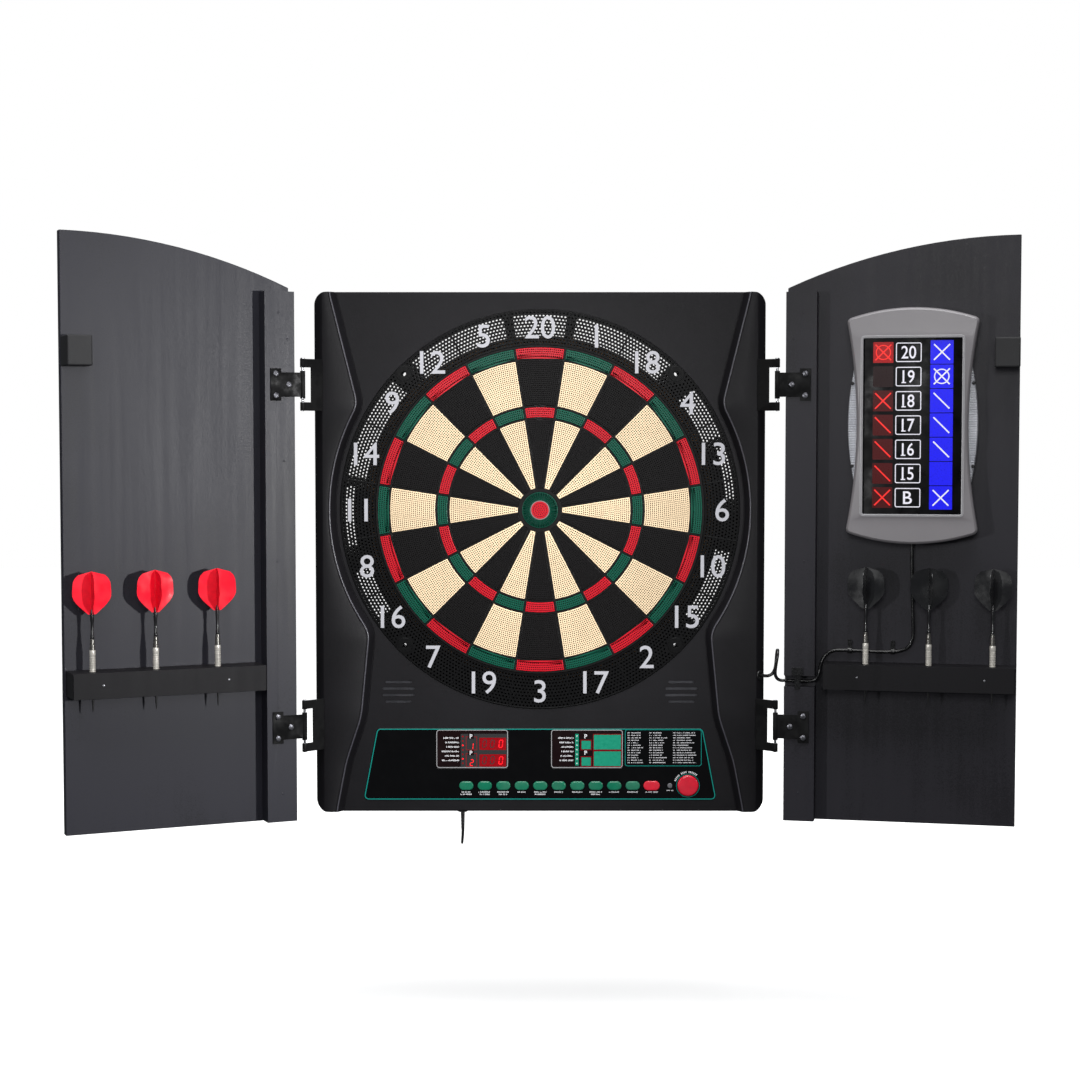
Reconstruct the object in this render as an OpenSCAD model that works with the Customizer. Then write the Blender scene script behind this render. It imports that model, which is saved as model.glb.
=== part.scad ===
// Wall-hung dart board cabinet: a round electronic target in a plastic housing, with two
// hinged doors that carry the dart racks and a cricket scorer. The origin is on the wall
// behind the middle of the target, +Z is up and the front looks along -Y.

/* [Housing] */
// Width of the housing
board_w = 546; // [540:2:700]
// Height of the housing above the middle of the target
board_top = 263.5; // [258:0.5:340]
// Height of the housing below the middle of the target
board_bottom = 368.5; // [366:0.5:460]
// Depth of the housing from the wall to its side wings
board_d = 46; // [45:0.5:60]
// How far the middle face lies behind the wings
face_drop = 8; // [4:0.5:10]
// Wall of the front shell
shell = 3; // [2:0.5:4]
// Thickness of the back cover
cover_t = 3; // [2:0.5:4]
// Corner radius of the housing
corner_r = 16; // [8:1:24]
// Width of the bevel along each side
side_bevel = 10; // [7:0.5:14]

/* [Wall screws] */
// Spacing of the four wall screws, across and up
wall_screw_pitch = 330; // [326:1:334]
// Diameter of each wall screw hole
wall_screw_d = 5.5; // [4:0.1:7]

/* [Target] */
// Outer diameter of the double ring
double_d = 393; // [380:1:396]
// Inner diameter of the double ring
double_in_d = 369; // [360:1:372]
// Outer diameter of the triple ring
triple_d = 248.6; // [230:0.2:260]
// Inner diameter of the triple ring
triple_in_d = 225.2; // [210:0.2:228]
// Diameter of the green outer bull
outer_bull_d = 43.2; // [38:0.2:48]
// Diameter of the red bullseye
bull_d = 20.8; // [16:0.2:24]
// Gap between segments, filled by the spider
segment_gap = 3; // [2:0.1:4]
// Clearance between a segment and the spider
segment_clear = 0.3; // [0.2:0.05:0.5]
// Outer diameter of the number ring
ring_d = 484.8; // [480:0.2:492]
// Travel of the bullseye when a dart hits it
bull_travel = 1; // [0.5:0.1:1.2]

/* [Controls] */
// Width of the control panel at its lower edge
overlay_w = 432; // [420:1:440]
// Height of the control panel
overlay_h = 88; // [84:1:92]
// Width of each display
display_w = 88.2; // [80:0.2:92]
// Height of each display
display_h = 47.6; // [40:0.2:50]
// Length of an oval game button
button_w = 17.4; // [14:0.2:19]
// Height of an oval game button
button_h = 10.5; // [8:0.1:12]
// Spacing of the game buttons
button_pitch = 22.6; // [21.4:0.1:22.6]
// Diameter of the round start button
start_d = 25.7; // [20:0.1:26]
// Clearance around each button
button_clear = 0.35; // [0.2:0.05:0.5]
// Travel of each button
button_travel = 1; // [0.5:0.1:1]
// Diameter of each speaker
speaker_d = 40; // [30:1:44]

/* [Doors] */
// Thickness of a door panel
door_t = 12; // [9:0.5:16]
// Width of the batten down the hinge side of a door
batten_w = 36.6; // [30:0.2:44]
// Thickness of the batten
batten_t = 23; // [20:0.5:30]
// Rise of the arched top from the hinge side to the free edge
arch_rise = 58.5; // [20:0.5:90]
// Gap between the two doors when they are closed
door_gap = 2; // [1:0.5:4]
// How far the left door stands short of flat open
left_tilt = 24.4; // [0:0.1:60]
// How far the right door stands short of flat open
right_tilt = 12.4; // [0:0.1:60]

/* [Hinges] */
// Distance of a hinge pin from the side of the housing
hinge_out = 11; // [9:0.5:14]
// Distance of a hinge pin in front of the side wings
hinge_fwd = 20; // [18:0.5:30]
// Diameter of a hinge pin
pin_d = 3; // [2.4:0.1:4]
// Diameter of a hinge barrel
barrel_d = 6.2; // [5.6:0.1:8]
// Height of a hinge bracket
bracket_h = 62; // [50:1:80]
// Height of the door leaf's own barrel
leaf_barrel_h = 33; // [26:0.5:36]
// Radial running clearance of the pin in the door leaf
pin_clear = 0.05; // [0.02:0.01:0.1]

/* [Dart racks] */
// Height of a rack
rack_h = 30; // [24:1:40]
// Depth of a rack from the door panel
rack_d = 40; // [36:0.5:41]
// Spacing of the darts in a rack
dart_pitch = 74; // [60:0.5:78]
// Distance of the dart nearest the free edge from that edge
dart_edge = 28; // [20:0.5:34]
// Distance of the darts from the door panel
dart_out = 23.5; // [22.9:0.1:25]
// Clearance between a dart and its hole
dart_clear = 0.3; // [0.2:0.05:0.6]

/* [Darts] */
// Diameter of the dart barrel
dart_d = 7.2; // [6:0.1:8]
// Width of a flight across two wings
flight_w = 44.6; // [30:0.2:45]
// Thickness of a flight
flight_t = 0.8; // [0.5:0.1:1]

/* [Scorer] */
// Width of the scorer frame at its corners
scorer_w = 155; // [140:1:160]
// Width of the scorer frame at its waist
scorer_waist = 130; // [126:1:140]
// Height of the scorer frame through its middle
scorer_h = 279; // [260:1:290]
// Depth of the scorer from the door panel
scorer_d = 34; // [28:1:38]
// Width of the scorer's window
window_w = 114.7; // [100:0.1:116]
// Height of the scorer's window
window_h = 207.3; // [180:0.1:210]

/* [Cords] */
// Diameter of the power cord
cord_d = 3.2; // [3:0.1:3.5]
// Diameter of the scorer cable
cable_d = 4; // [3.6:0.1:4.4]
// Length of the power cord's strain relief below the housing
relief_len = 24; // [20:1:28]
// Depth of the cord bay in the back cover
bay_d = 26; // [24:0.5:27]

/* [Hidden] */
$fn = 64;
eps = 0.01;

// Planes of the housing, measured from the wall
hw = board_w / 2;
wing_y = -board_d;
face_y = wing_y + face_drop;
face_rear = face_y + shell;
overlay_t = 0.6;
overlay_front = face_y - overlay_t;

// Planes of the target's layers
segment_front = face_y - 3;
spider_front = face_y - 2.2;
ring_front = face_y - 1;
target_rear = face_rear + 1.8;
membrane_t = 1.4;
backing_t = 4;
membrane_rear = target_rear + membrane_t;
backing_rear = membrane_rear + backing_t;
bull_head = 7;
bull_front = segment_front - 0.2;

// Radii of the target
bull_r = bull_d / 2;
bull_ring_w = 0.75;
outer_bull_in = bull_r + 2 * segment_clear + bull_ring_w;
single_in = outer_bull_d / 2 + 5.4;
triple_in = triple_in_d / 2;
triple_out = triple_d / 2;
double_in = double_in_d / 2;
double_out = double_d / 2;
spider_r = double_out + segment_gap;
ring_in = spider_r + segment_clear;
ring_r = ring_d / 2;
ring_lip = 6;
ring_clear = 0.6;
recess_r = ring_r + 12;
backing_r = spider_r + 12;

// Control panel, placed from the foot of the housing
overlay_z = -board_bottom + 14;
overlay_top_w = overlay_w - 34;
display_z = overlay_z + 39;
button_z = overlay_z + 17.6;
button_x = -90.1;
power_x = 136.4;
power_w = 19.8;
power_h = 11.3;
reset_x = 158.8;
reset_d = 6;
start_x = 180.8;
display_x = [-126.9, 13.2];
button_proud = 1.8;
button_flange = 1.2;
flange_t = 1.5;
plunger_r = 2;
pcb_front = face_rear + 4;
pcb_t = 1.6;
pcb_half = 208;
pcb_post_x = 203;
speaker_x = 172.5;
speaker_z = -board_bottom + 146.8;
louvre_pitch = 8;
louvre_h = 3.2;

// Housing screws: side columns, then the top and bottom rows
screw_r = 1.5;
screw_head_r = 3.2;
side_screw_x = hw - 14;
case_screws = concat(
    [for (s = [-1, 1], z = [board_top - 33.5, 60, -110, -board_bottom + 28.5]) [s * side_screw_x, z]],
    [for (s = [-1, 1]) [s * 120, board_top - 10]],
    [for (s = [-1, 1]) [s * 150, -board_bottom + 10]]
);

// Cord bay and wall screw posts
bay_x = [-110, 42];
bay_z = [-board_bottom + 5.5, -board_bottom + 102.5];
bay_wall = 2;
post_r = 6.5;
hole_r = wall_screw_d / 2;
screw_at = wall_screw_pitch / 2;

// Windows in the back cover behind the number ring: start angle, end angle, inner radius
ring_windows = [
    [48, 79, 213], [82, 98, 213], [101, 131, 213], [139, 170, 215], [173, 191, 228],
    [199, 214, 222], [-36, -13, 222], [3, 19, 228], [22, 38, 216]
];

// Hinges and doors
xh = hw + hinge_out;
yh = wing_y - hinge_fwd;
hinge_z = [board_top - 112.5, -board_bottom + 108.5];
barrel_r = barrel_d / 2;
pin_r = pin_d / 2;
leaf_t = 1.6;
foot_t = 2;
foot_x = hw - side_bevel - 0.8;
foot_y = -16;
window_gap = 4.3;
door_in = 10;
door_out = xh - door_gap / 2;
door_z = -board_bottom - 6.8;
door_side_top = board_top + 4;
batten_out = door_in + batten_w;
arch_r = ((xh - door_in) * (xh - door_in) + arch_rise * arch_rise) / (2 * arch_rise);
leaf_neck_h = 29;
leaf_neck_end = 27;
leaf_wide_h = 38.5;
leaf_end = 40;
leaf_screw_r = 1.75;
leaf_screws = [[33.5, 13], [33.5, -13], [17.5, 0]];

// Racks, catches and darts, in the frame of a door
rack_z = door_z + 163.3;
rack_top = rack_z + rack_h;
rack_start = [batten_out + 5.4, batten_out + 10.9];
rack_end = door_out - 2;
dart_u = [for (k = [0:2]) door_out - dart_edge - k * dart_pitch];
dart_n = dart_out - batten_t;
dart_r = dart_d / 2;
dart_seat = 3;
barrel_foot = rack_z + dart_seat;
barrel_len = 50;
taper_len = 15;
stem_len = 28;
flight_h = 50;
tip_len = 20;
peg_r = 0.9;
peg_len = 5;
part_gap = 0.1;
stem_r = 2.3;
taper_top = barrel_foot + barrel_len + taper_len;
flight_foot = taper_top + stem_len;
catch_w = 29;
catch_h = 35;
catch_d = 39;
catch_z = board_top - 94;

// Scorer, in the frame of the right door
scorer_u = xh - 124.5;
scorer_top = board_top - 22.5;
scorer_foot = scorer_top - scorer_h;
scorer_wall = 3;
scorer_mid = scorer_foot + 141;
end_sag = 13.5;
waist_sag = (scorer_w - scorer_waist) / 2;
end_r = (scorer_w * scorer_w / 4 + end_sag * end_sag) / (2 * end_sag);
side_len = scorer_h - 2 * end_sag;
waist_r = (side_len * side_len / 4 + waist_sag * waist_sag) / (2 * waist_sag);
lens_half = scorer_waist / 2 + 11.2;
lens_len = 142;
lens_sag = 8;
lens_r = (lens_len * lens_len / 4 + lens_sag * lens_sag) / (2 * lens_sag);
window_foot = scorer_foot + 35.5;
scorer_n = scorer_d - batten_t;

// Notch in the right batten for the scorer cable
notch_z = [rack_z + 0.5, rack_z + 13.7];
notch_d = 12;

// Power cord: gland, route down and back up behind the foot of the housing, and coil
cord_r = cord_d / 2;
cable_r = cable_d / 2;
cord_x = -94.7;
gland_y = -31.5;
gland_r = 4.5;
gland_flange = 1.5;
relief_r = [2.6, 2];
gland_in = 2;
cord_back_y = -3.5;
coil_at = [-78, -13, -board_bottom + 58.5];
coil_in_r = 14.2;
coil_layers = 3;
coil_turns_deep = 4;
coil_r = coil_in_r + coil_layers * cord_d;
adapter_at = [-4, -13, -board_bottom + 80.5];
adapter_size = [60, 22, 40];
adapter_boot = 8;
blade_len = 14;
cord_route = [for (p = [
    [-94.7, -31.5, 2], [-94.7, -31.5, -11.5], [-94.8, -31.5, -21.5], [-95, -31.3, -28.5],
    [-95.3, -30.3, -34], [-95.6, -27.4, -38.5], [-95.9, -23, -41.5], [-96, -17.5, -42.7],
    [-96, -12, -41.5], [-95.8, -7.6, -38.5], [-95.5, -4.6, -34], [-95.2, -3.5, -28.5],
    [-94.8, -3.5, -11.5], [-94.7, -3.5, 6.5], [-94.9, -4, 18.5], [-95.7, -5.2, 30.5],
    [-97.6, -6.9, 42.5], [-99.6, -8, 51.5], [-100.2, -8.2, 58.5]
]) [p[0], p[1], p[2] - board_bottom]];
lead_route = [for (p = [
    [-78, -17.8, 80.7], [-70, -17.6, 80.7], [-61, -16.2, 80.6], [-53, -14.2, 80.5],
    [-47, -13.1, 80.5], [-41, -13, 80.5]
]) [p[0], p[1], p[2] - board_bottom]];

// Scorer cable on the right door, as [along the door, out from its hinge plane, up]: down
// from the scorer, along above the rack, and through the notch in the batten
cable_n = 2.5 - batten_t;
cable_route = concat(
    [for (p = [[0.5, 2.5], [0.5, -22]]) [scorer_u + p[0], cable_n, scorer_foot + p[1]]],
    [for (p = [[1.5, 72], [2.5, 40], [1.5, 28], [-3.5, 19], [-11.5, 15], [-21.5, 13.5],
        [-37.5, 13], [-55.5, 13.5]]) [scorer_u + p[0], cable_n, rack_top + p[1]]],
    [for (p = [[40.4, 0, 14], [23.4, 0, 13.5], [15.4, 0.3, 11], [9.4, 1.5, 5], [6.4, 3.5, -2]])
        [batten_out + p[0], cable_n + p[1], rack_top + p[2]]],
    [for (p = [[5, -14, -9], [3.9, -10.5, -15], [1.4, -8, -20], [-3.6, -7, -22.5],
        [-12.6, -7, -23], [-24.6, -7, -23], [-36.6, -7, -23]])
        [batten_out + p[0], p[1], rack_top + p[2]]]
);
clip_u = [batten_out + 40.4, scorer_u - 21.5];
clip_z = [rack_top + 14, rack_top + 13.5];
grommet_z = rack_z + 11;
grommet_in = 2;
grommet_r = 4;

// ---- Shared shapes ----

// A plate that faces the front, from y_back to y_front; its outline is drawn in X and Z
module slab(y_back, y_front)
    translate([0, y_back, 0]) rotate([90, 0, 0]) linear_extrude(y_back - y_front) children();

// A rectangle with true round corners
module rounded(x0, x1, z0, z1, r) {
    translate([x0 + r, z0]) square([x1 - x0 - 2 * r, z1 - z0]);
    translate([x0, z0 + r]) square([x1 - x0, z1 - z0 - 2 * r]);
    for (x = [x0 + r, x1 - r], z = [z0 + r, z1 - r]) translate([x, z]) circle(r);
}

module rect(x0, x1, z0, z1)
    translate([x0, z0]) square([x1 - x0, z1 - z0]);

// A slot-shaped outline with round ends, centred
module oval(w, h) {
    square([w - h, h], center = true);
    for (s = [-1, 1]) translate([s * (w - h) / 2, 0]) circle(h / 2);
}

module annulus(r_in, r_out)
    difference() {
        circle(r_out);
        circle(r_in);
    }

// A round rod along Y
module rod_y(y_back, y_front, r, x = 0, z = 0)
    translate([x, y_back, z]) rotate([90, 0, 0]) cylinder(r = r, h = y_back - y_front);

// Rings of points along a route, for a tube of round section
function unit(v) = v / norm(v);
function along(p, k) =
    unit(p[min(k + 1, len(p) - 1)] - p[max(k - 1, 0)]);
function side_of(t) = unit(cross(t, abs(t[0]) < 0.8 ? [1, 0, 0] : [0, 1, 0]));
function carried(prev, t) = unit(prev - (prev * t) * t);
function sides(p, k = 0, prev = [0, 0, 0]) =
    k == len(p) ? [] :
    let (t = along(p, k), a = k == 0 ? side_of(t) : carried(prev, t))
    concat([a], sides(p, k + 1, a));

module tube(p, r, n = 8) {
    a = sides(p);
    points = [for (k = [0:len(p) - 1], j = [0:n - 1])
        let (t = along(p, k), b = cross(t, a[k]))
        p[k] + r * (cos(360 * j / n) * a[k] + sin(360 * j / n) * b)];
    last = (len(p) - 1) * n;
    walls = [for (k = [0:len(p) - 2], j = [0:n - 1])
        let (i = (j + 1) % n)
        [k * n + j, k * n + i, (k + 1) * n + i, (k + 1) * n + j]];
    polyhedron(points, concat([[for (j = [n - 1:-1:0]) j]], walls, [[for (j = [0:n - 1]) last + j]]));
}

// ---- Housing ----

// Outline of the middle face between the wings
module recess(grow = 0) {
    arc_top = 30.1;
    arc_foot = -35.5;
    r = recess_r + grow;
    side = [
        [hw - 19 + grow, board_top + 1],
        r * [cos(arc_top), sin(arc_top)],
        r * [cos(arc_foot), sin(arc_foot)],
        [hw - 55.7 + grow, -board_bottom + 117],
        [hw - 37.5 + grow, -board_bottom + 62.4],
        [hw - 25.7 + grow, -board_bottom - 1]
    ];
    polygon(concat(side, [for (k = [len(side) - 1:-1:0]) [-side[k][0], side[k][1]]]));
    circle(r);
}

module front_bezel()
    color("#2c2c2f")
    difference() {
        union() {
            difference() {
                bezel_block();
                bezel_hollow();
            }
            case_bosses();
            hinge_ribs();
            pcb_posts();
        }
        slab(face_y, wing_y - 1) recess();
        slab(1, wing_y - 1) circle(ring_r + ring_clear);
        control_cuts();
        for (s = [-1, 1]) translate([s * speaker_x, 0, speaker_z]) louvres();
        for (p = case_screws) rod_y(1, face_rear + 4, screw_r, p[0], p[1]);
        for (s = [-1, 1], z = hinge_z) hinge_slot(s, z);
        translate([cord_x, gland_y, -board_bottom - 1]) cylinder(r = gland_r, h = shell + 2);
        cord_notch();
        grommet_frame() cylinder(r = grommet_r, h = 12, center = true);
    }

// Where the cord comes back up into the bay, through the foot of both shells
module cord_notch()
    translate([cord_x - cord_d, cord_back_y - cord_d, -board_bottom - 1])
        cube([2 * cord_d, -cord_back_y + cord_d + 1, 12]);

module bezel_block()
    intersection() {
        slab(-cover_t, wing_y) rounded(-hw, hw, -board_bottom, board_top, corner_r);
        translate([0, 0, -board_bottom - 1]) linear_extrude(board_top + board_bottom + 2) polygon([
            [-hw, 0], [-hw, wing_y + side_bevel], [-hw + side_bevel, wing_y],
            [hw - side_bevel, wing_y], [hw, wing_y + side_bevel], [hw, 0]
        ]);
    }

module bezel_hollow() {
    slab(1, face_rear) rounded(-hw + shell, hw - shell, -board_bottom + shell,
        board_top - shell, corner_r - shell);
    slab(face_rear + eps, wing_y + shell) difference() {
        rounded(-hw + side_bevel + 1, hw - side_bevel - 1, -board_bottom + shell,
            board_top - shell, corner_r - side_bevel);
        recess(shell + 0.5);
    }
}

module case_bosses()
    for (k = [0:len(case_screws) - 1])
        rod_y(-cover_t, k < 8 ? wing_y + 1 : face_y + 1, 3 * screw_r, case_screws[k][0],
            case_screws[k][1]);

module hinge_ribs()
    for (s = [-1, 1], z = hinge_z)
        slab(foot_y - 1, wing_y + 1)
            rect(s > 0 ? foot_x - 7 : -foot_x, s > 0 ? foot_x : -foot_x + 7, z - 34, z + 34);

module pcb_posts()
    for (s = [-1, 1], z = [overlay_z + 9, overlay_z + 82])
        rod_y(pcb_front, face_y + 1, 4, s * pcb_post_x, z);

// The slot that a hinge bracket comes out of, and the holes for its two screws
module hinge_slot(s, z) {
    slab(face_rear + 6, wing_y - 1)
        rect(s > 0 ? foot_x : -foot_x - foot_t - 0.8, s > 0 ? foot_x + foot_t + 0.8 : -foot_x,
            z - 35, z + 35);
    for (dz = [-22, 22]) foot_screw_at(s, z + dz) cylinder(r = screw_r, h = 6);
}

// Frame of a screw through a bracket foot: along its axis into the rib
module foot_screw_at(s, z)
    translate([s * foot_x, foot_y - 8, z]) rotate([0, -90 * s, 0]) children();

module control_cuts() {
    for (x = display_x)
        slab(1, wing_y) rect(x - 0.3, x + display_w + 0.3, display_z - 0.3,
            display_z + display_h + 0.3);
    gap = 2 * button_clear;
    slab(1, wing_y) {
        for (k = [0:9]) translate([button_x + k * button_pitch, button_z])
            oval(button_w + gap, button_h + gap);
        translate([power_x, button_z]) oval(power_w + gap, power_h + gap);
        translate([reset_x, button_z]) circle(reset_d / 2 + button_clear);
        translate([start_x, button_z]) circle(start_d / 2 + button_clear);
    }
}

module louvres()
    for (k = [-1.5:1.5])
        let (half = sqrt(speaker_d * speaker_d / 4 - louvre_pitch * louvre_pitch * k * k))
        slab(1, wing_y) translate([0, louvre_pitch * k]) oval(2 * half, louvre_h);

// Frame of the scorer cable's grommet on the right-hand bevel, its axis pointing out
module grommet_frame()
    translate([hw - side_bevel / 2, wing_y + side_bevel / 2, grommet_z])
        rotate([0, 0, -45]) rotate([0, 90, 0]) children();

module ring_window(w)
    intersection() {
        annulus(w[2], ring_r - 2);
        polygon([for (p = [[0, 0], [300, w[0]], [300, (w[0] + w[1]) / 2], [300, w[1]]])
            p[0] * [cos(p[1]), sin(p[1])]]);
    }

module back_cover()
    color("#242426")
    difference() {
        union() {
            slab(0, -cover_t) rounded(-hw, hw, -board_bottom, board_top, corner_r);
            slab(-1, -bay_d - bay_wall) rect(bay_x[0] - bay_wall, bay_x[1] + bay_wall,
                bay_z[0] - bay_wall, bay_z[1] + bay_wall);
            for (r = [100, spider_r - 4]) slab(-1, backing_rear) annulus(r, r + 3);
            slab(-1, backing_rear) for (k = [0:7]) rotate(22.5 + 45 * k) rect(101, spider_r - 3, -1.5, 1.5);
            for (sx = [-1, 1], sz = [-1, 1])
                rod_y(-1, target_rear + 1, post_r, sx * screw_at, sz * screw_at);
        }
        slab(1, -bay_d) rect(bay_x[0], bay_x[1], bay_z[0], bay_z[1]);
        slab(1, -cover_t - 1) for (w = ring_windows) ring_window(w);
        cord_notch();
        for (sx = [-1, 1], sz = [-1, 1])
            rod_y(1, target_rear, hole_r, sx * screw_at, sz * screw_at);
        for (p = case_screws) {
            rod_y(1, -cover_t - 1, screw_r + 0.3, p[0], p[1]);
            rod_y(1, -1.6, screw_head_r + 0.3, p[0], p[1]);
        }
    }

module housing_screws()
    color("#8c8c90") {
        for (p = case_screws) {
            rod_y(-0.1, -1.6, screw_head_r, p[0], p[1]);
            rod_y(-1.6 + eps, -16, screw_r, p[0], p[1]);
        }
        for (s = [-1, 1], z = hinge_z, dz = [-22, 22]) foot_screw_at(s, z + dz) {
            cylinder(r = screw_r, h = 6);
            translate([0, 0, -foot_t - 1.6]) cylinder(r = screw_head_r, h = 1.6);
            translate([0, 0, -foot_t - eps]) cylinder(r = screw_r, h = foot_t + 2 * eps);
        }
    }

module cord_glands()
    color("#1b1b1c") {
        translate([cord_x, gland_y, -board_bottom]) difference() {
            union() {
                cylinder(r = gland_r, h = shell);
                translate([0, 0, -gland_flange]) cylinder(r = gland_r + 1.5, h = gland_flange + eps);
                translate([0, 0, -relief_len]) cylinder(r1 = relief_r[1], r2 = relief_r[0], h = relief_len);
            }
            translate([0, 0, -relief_len - 1])
                cylinder(r = cord_r + 0.05, h = relief_len + gland_in + 1);
        }
        grommet_frame() difference() {
            union() {
                translate([0, 0, -4.4]) cylinder(r = grommet_r, h = 4.4 + eps);
                cylinder(r = grommet_r + 2, h = 1.2);
            }
            translate([0, 0, -grommet_in * sqrt(2)]) cylinder(r = cable_r + 0.1, h = 8);
        }
    }

module speakers()
    color("#3a3a3c")
    for (s = [-1, 1]) {
        rod_y(face_rear + 3, face_rear, speaker_d / 2 + 2, s * speaker_x, speaker_z);
        rod_y(face_rear + 13, face_rear + 3 - eps, speaker_d / 4, s * speaker_x, speaker_z);
    }

// ---- Target ----

// The number ring, whose rear lip sits behind the housing's face
module catch_ring()
    color("#19191b")
    difference() {
        union() {
            slab(face_rear + 2.6, ring_front) annulus(ring_in, ring_r);
            slab(face_rear + 2.6, face_rear) annulus(ring_in, ring_r + ring_lip);
        }
        for (sx = [-1, 1], sz = [-1, 1]) {
            rod_y(0, wing_y, hole_r, sx * screw_at, sz * screw_at);
            rod_y(0, target_rear, post_r + 0.2, sx * screw_at, sz * screw_at);
        }
    }

// The web of rings and spokes between the segments
module target_spider()
    color("#1f1f21")
    slab(target_rear, spider_front) {
        gap = segment_clear;
        annulus(bull_r + gap, outer_bull_in - gap);
        annulus(outer_bull_d / 2 + gap, single_in - gap);
        annulus(triple_in - segment_gap + gap, triple_in - gap);
        annulus(triple_out + gap, triple_out + segment_gap - gap);
        annulus(double_in - segment_gap + gap, double_in - gap);
        annulus(double_out + gap, spider_r);
        for (k = [0:19]) rotate(9 + 18 * k)
            rect(single_in - 1, double_out + 1, -segment_gap / 2 + gap, segment_gap / 2 - gap);
    }

// One segment, between two radii, k places clockwise from the top
module segment(k, r_in, r_out) {
    apex = segment_gap / 2 / sin(9);
    far = 240;
    slab(target_rear, segment_front) intersection() {
        annulus(r_in, r_out);
        rotate(90 - 18 * k) polygon([
            [apex, 0], [apex + far * cos(9), -far * sin(9)], [apex + far * cos(9), far * sin(9)]
        ]);
    }
}

module score_segments(first)
    for (k = [first:2:19]) {
        segment(k, triple_in, triple_out);
        segment(k, double_in, double_out);
    }

module single_segments(first)
    for (k = [first:2:19]) {
        segment(k, single_in, triple_in - segment_gap);
        segment(k, triple_out + segment_gap, double_in - segment_gap);
    }

module segments_red()
    color("#d9232f") score_segments(0);

module segments_green()
    color("#0d6a50") {
        score_segments(1);
        slab(target_rear, segment_front) annulus(outer_bull_in, outer_bull_d / 2);
    }

module segments_cream()
    color("#e3c79a") single_segments(1);

module segments_black()
    color("#17171a") single_segments(0);

module bullseye()
    color("#d9232f") rod_y(bull_front + bull_head, bull_front, bull_r);

module sensor_membrane()
    color("#6c6f73") slab(membrane_rear, target_rear) circle(spider_r);

module backing_plate()
    color("#7a5a3a") slab(backing_rear, membrane_rear) circle(backing_r);

// ---- Controls ----

module control_overlay()
    color("#101114")
    difference() {
        slab(face_y, overlay_front) polygon([
            [-overlay_w / 2, overlay_z], [overlay_w / 2, overlay_z],
            [overlay_top_w / 2, overlay_z + overlay_h], [-overlay_top_w / 2, overlay_z + overlay_h]
        ]);
        control_cuts();
    }

module led_displays()
    color("#40080a")
    for (x = display_x)
        slab(pcb_front, face_y - 0.3) rect(x, x + display_w, display_z, display_z + display_h);

module circuit_board()
    color("#1f5a33") {
        slab(pcb_front + pcb_t, pcb_front)
            rect(-pcb_half, pcb_half, overlay_z + 4.5, overlay_z + 88);
        for (x = [62, 98, 134, 170])
            slab(pcb_front + 6, pcb_front + pcb_t - eps)
                rect(x, x + 20, overlay_z + 30, overlay_z + 50);
    }

// A push button: cap in front, retaining flange and plunger behind the housing's face
module push_button(x) {
    translate([x, 0, button_z]) {
        slab(face_rear + 0.1 + eps, overlay_front - button_proud) children(0);
        slab(face_rear + 0.1 + flange_t, face_rear + 0.1) children(1);
        rod_y(pcb_front - button_travel - 0.2, face_rear + flange_t, plunger_r);
    }
}

module game_button(k)
    color("#4fae6b") push_button(button_x + (k - 1) * button_pitch) {
        oval(button_w, button_h);
        oval(button_w + 2 * button_flange, button_h + 2 * button_flange);
    }

module power_button()
    color("#c8202a") push_button(power_x) {
        oval(power_w, power_h);
        oval(power_w + 2 * button_flange, power_h + 2 * button_flange);
    }

module reset_button()
    color("#9a9a9c") push_button(reset_x) {
        circle(reset_d / 2);
        circle(reset_d / 2 + button_flange);
    }

module start_button()
    color("#c8202a") push_button(start_x) {
        circle(start_d / 2);
        circle(start_d / 2 + button_flange);
    }

// ---- Hinges fixed to the housing ----

module both_sides()
    for (s = [0, 1]) mirror([s, 0, 0]) children();

// A bent plate from inside the wing to the pin, with a window for the door leaf's barrel
module hinge_bracket()
    difference() {
        union() {
            linear_extrude(bracket_h, center = true) polygon([
                [foot_x, foot_y], [foot_x + foot_t, foot_y], [foot_x + foot_t, wing_y + 0.4],
                [xh - 0.6, yh + 2.2], [xh - 2.4, yh + 0.6], [foot_x, wing_y - 1]
            ]);
            translate([xh, yh, 0]) cylinder(r = barrel_r, h = bracket_h, center = true);
        }
        translate([xh, yh, 0]) {
            cylinder(r = pin_r + 0.02, h = bracket_h + 2, center = true);
            translate([-9.5, -2 * barrel_r, -leaf_barrel_h / 2 - window_gap])
                cube([9.5 + 2 * barrel_r, 9.5 + 2 * barrel_r, leaf_barrel_h + 2 * window_gap]);
        }
        for (dz = [-22, 22]) foot_screw_at(1, dz)
            translate([0, 0, -foot_t - 1]) cylinder(r = screw_r + 0.2, h = foot_t + 2);
    }

module hinge_brackets()
    color("#202022") both_sides() for (z = hinge_z) translate([0, 0, z]) hinge_bracket();

module hinge_pins()
    color("#9b9b9f") both_sides() for (z = hinge_z) translate([xh, yh, z]) {
        cylinder(r = pin_r, h = bracket_h + 1, center = true);
        translate([0, 0, bracket_h / 2 + 0.2]) cylinder(r = pin_r + 0.9, h = 0.8);
    }

// ---- Doors, drawn from their hinge pin: X along the door, -Y out of its inner side ----

module left_door()
    mirror([1, 0, 0]) translate([xh, yh, 0]) rotate([0, 0, -left_tilt]) children();

module right_door()
    translate([xh, yh, 0]) rotate([0, 0, -right_tilt]) children();

function right_door_point(p) = [
    xh + p[0] * cos(right_tilt) - p[1] * sin(right_tilt),
    yh - p[0] * sin(right_tilt) - p[1] * cos(right_tilt),
    p[2]
];

module door_panel()
    color("#55575c")
    slab(batten_t + door_t, batten_t) intersection() {
        rect(door_in, door_out, door_z, board_top + 2 * arch_rise);
        translate([xh, door_side_top + arch_rise - arch_r]) circle(arch_r, $fn = 360);
    }

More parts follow.
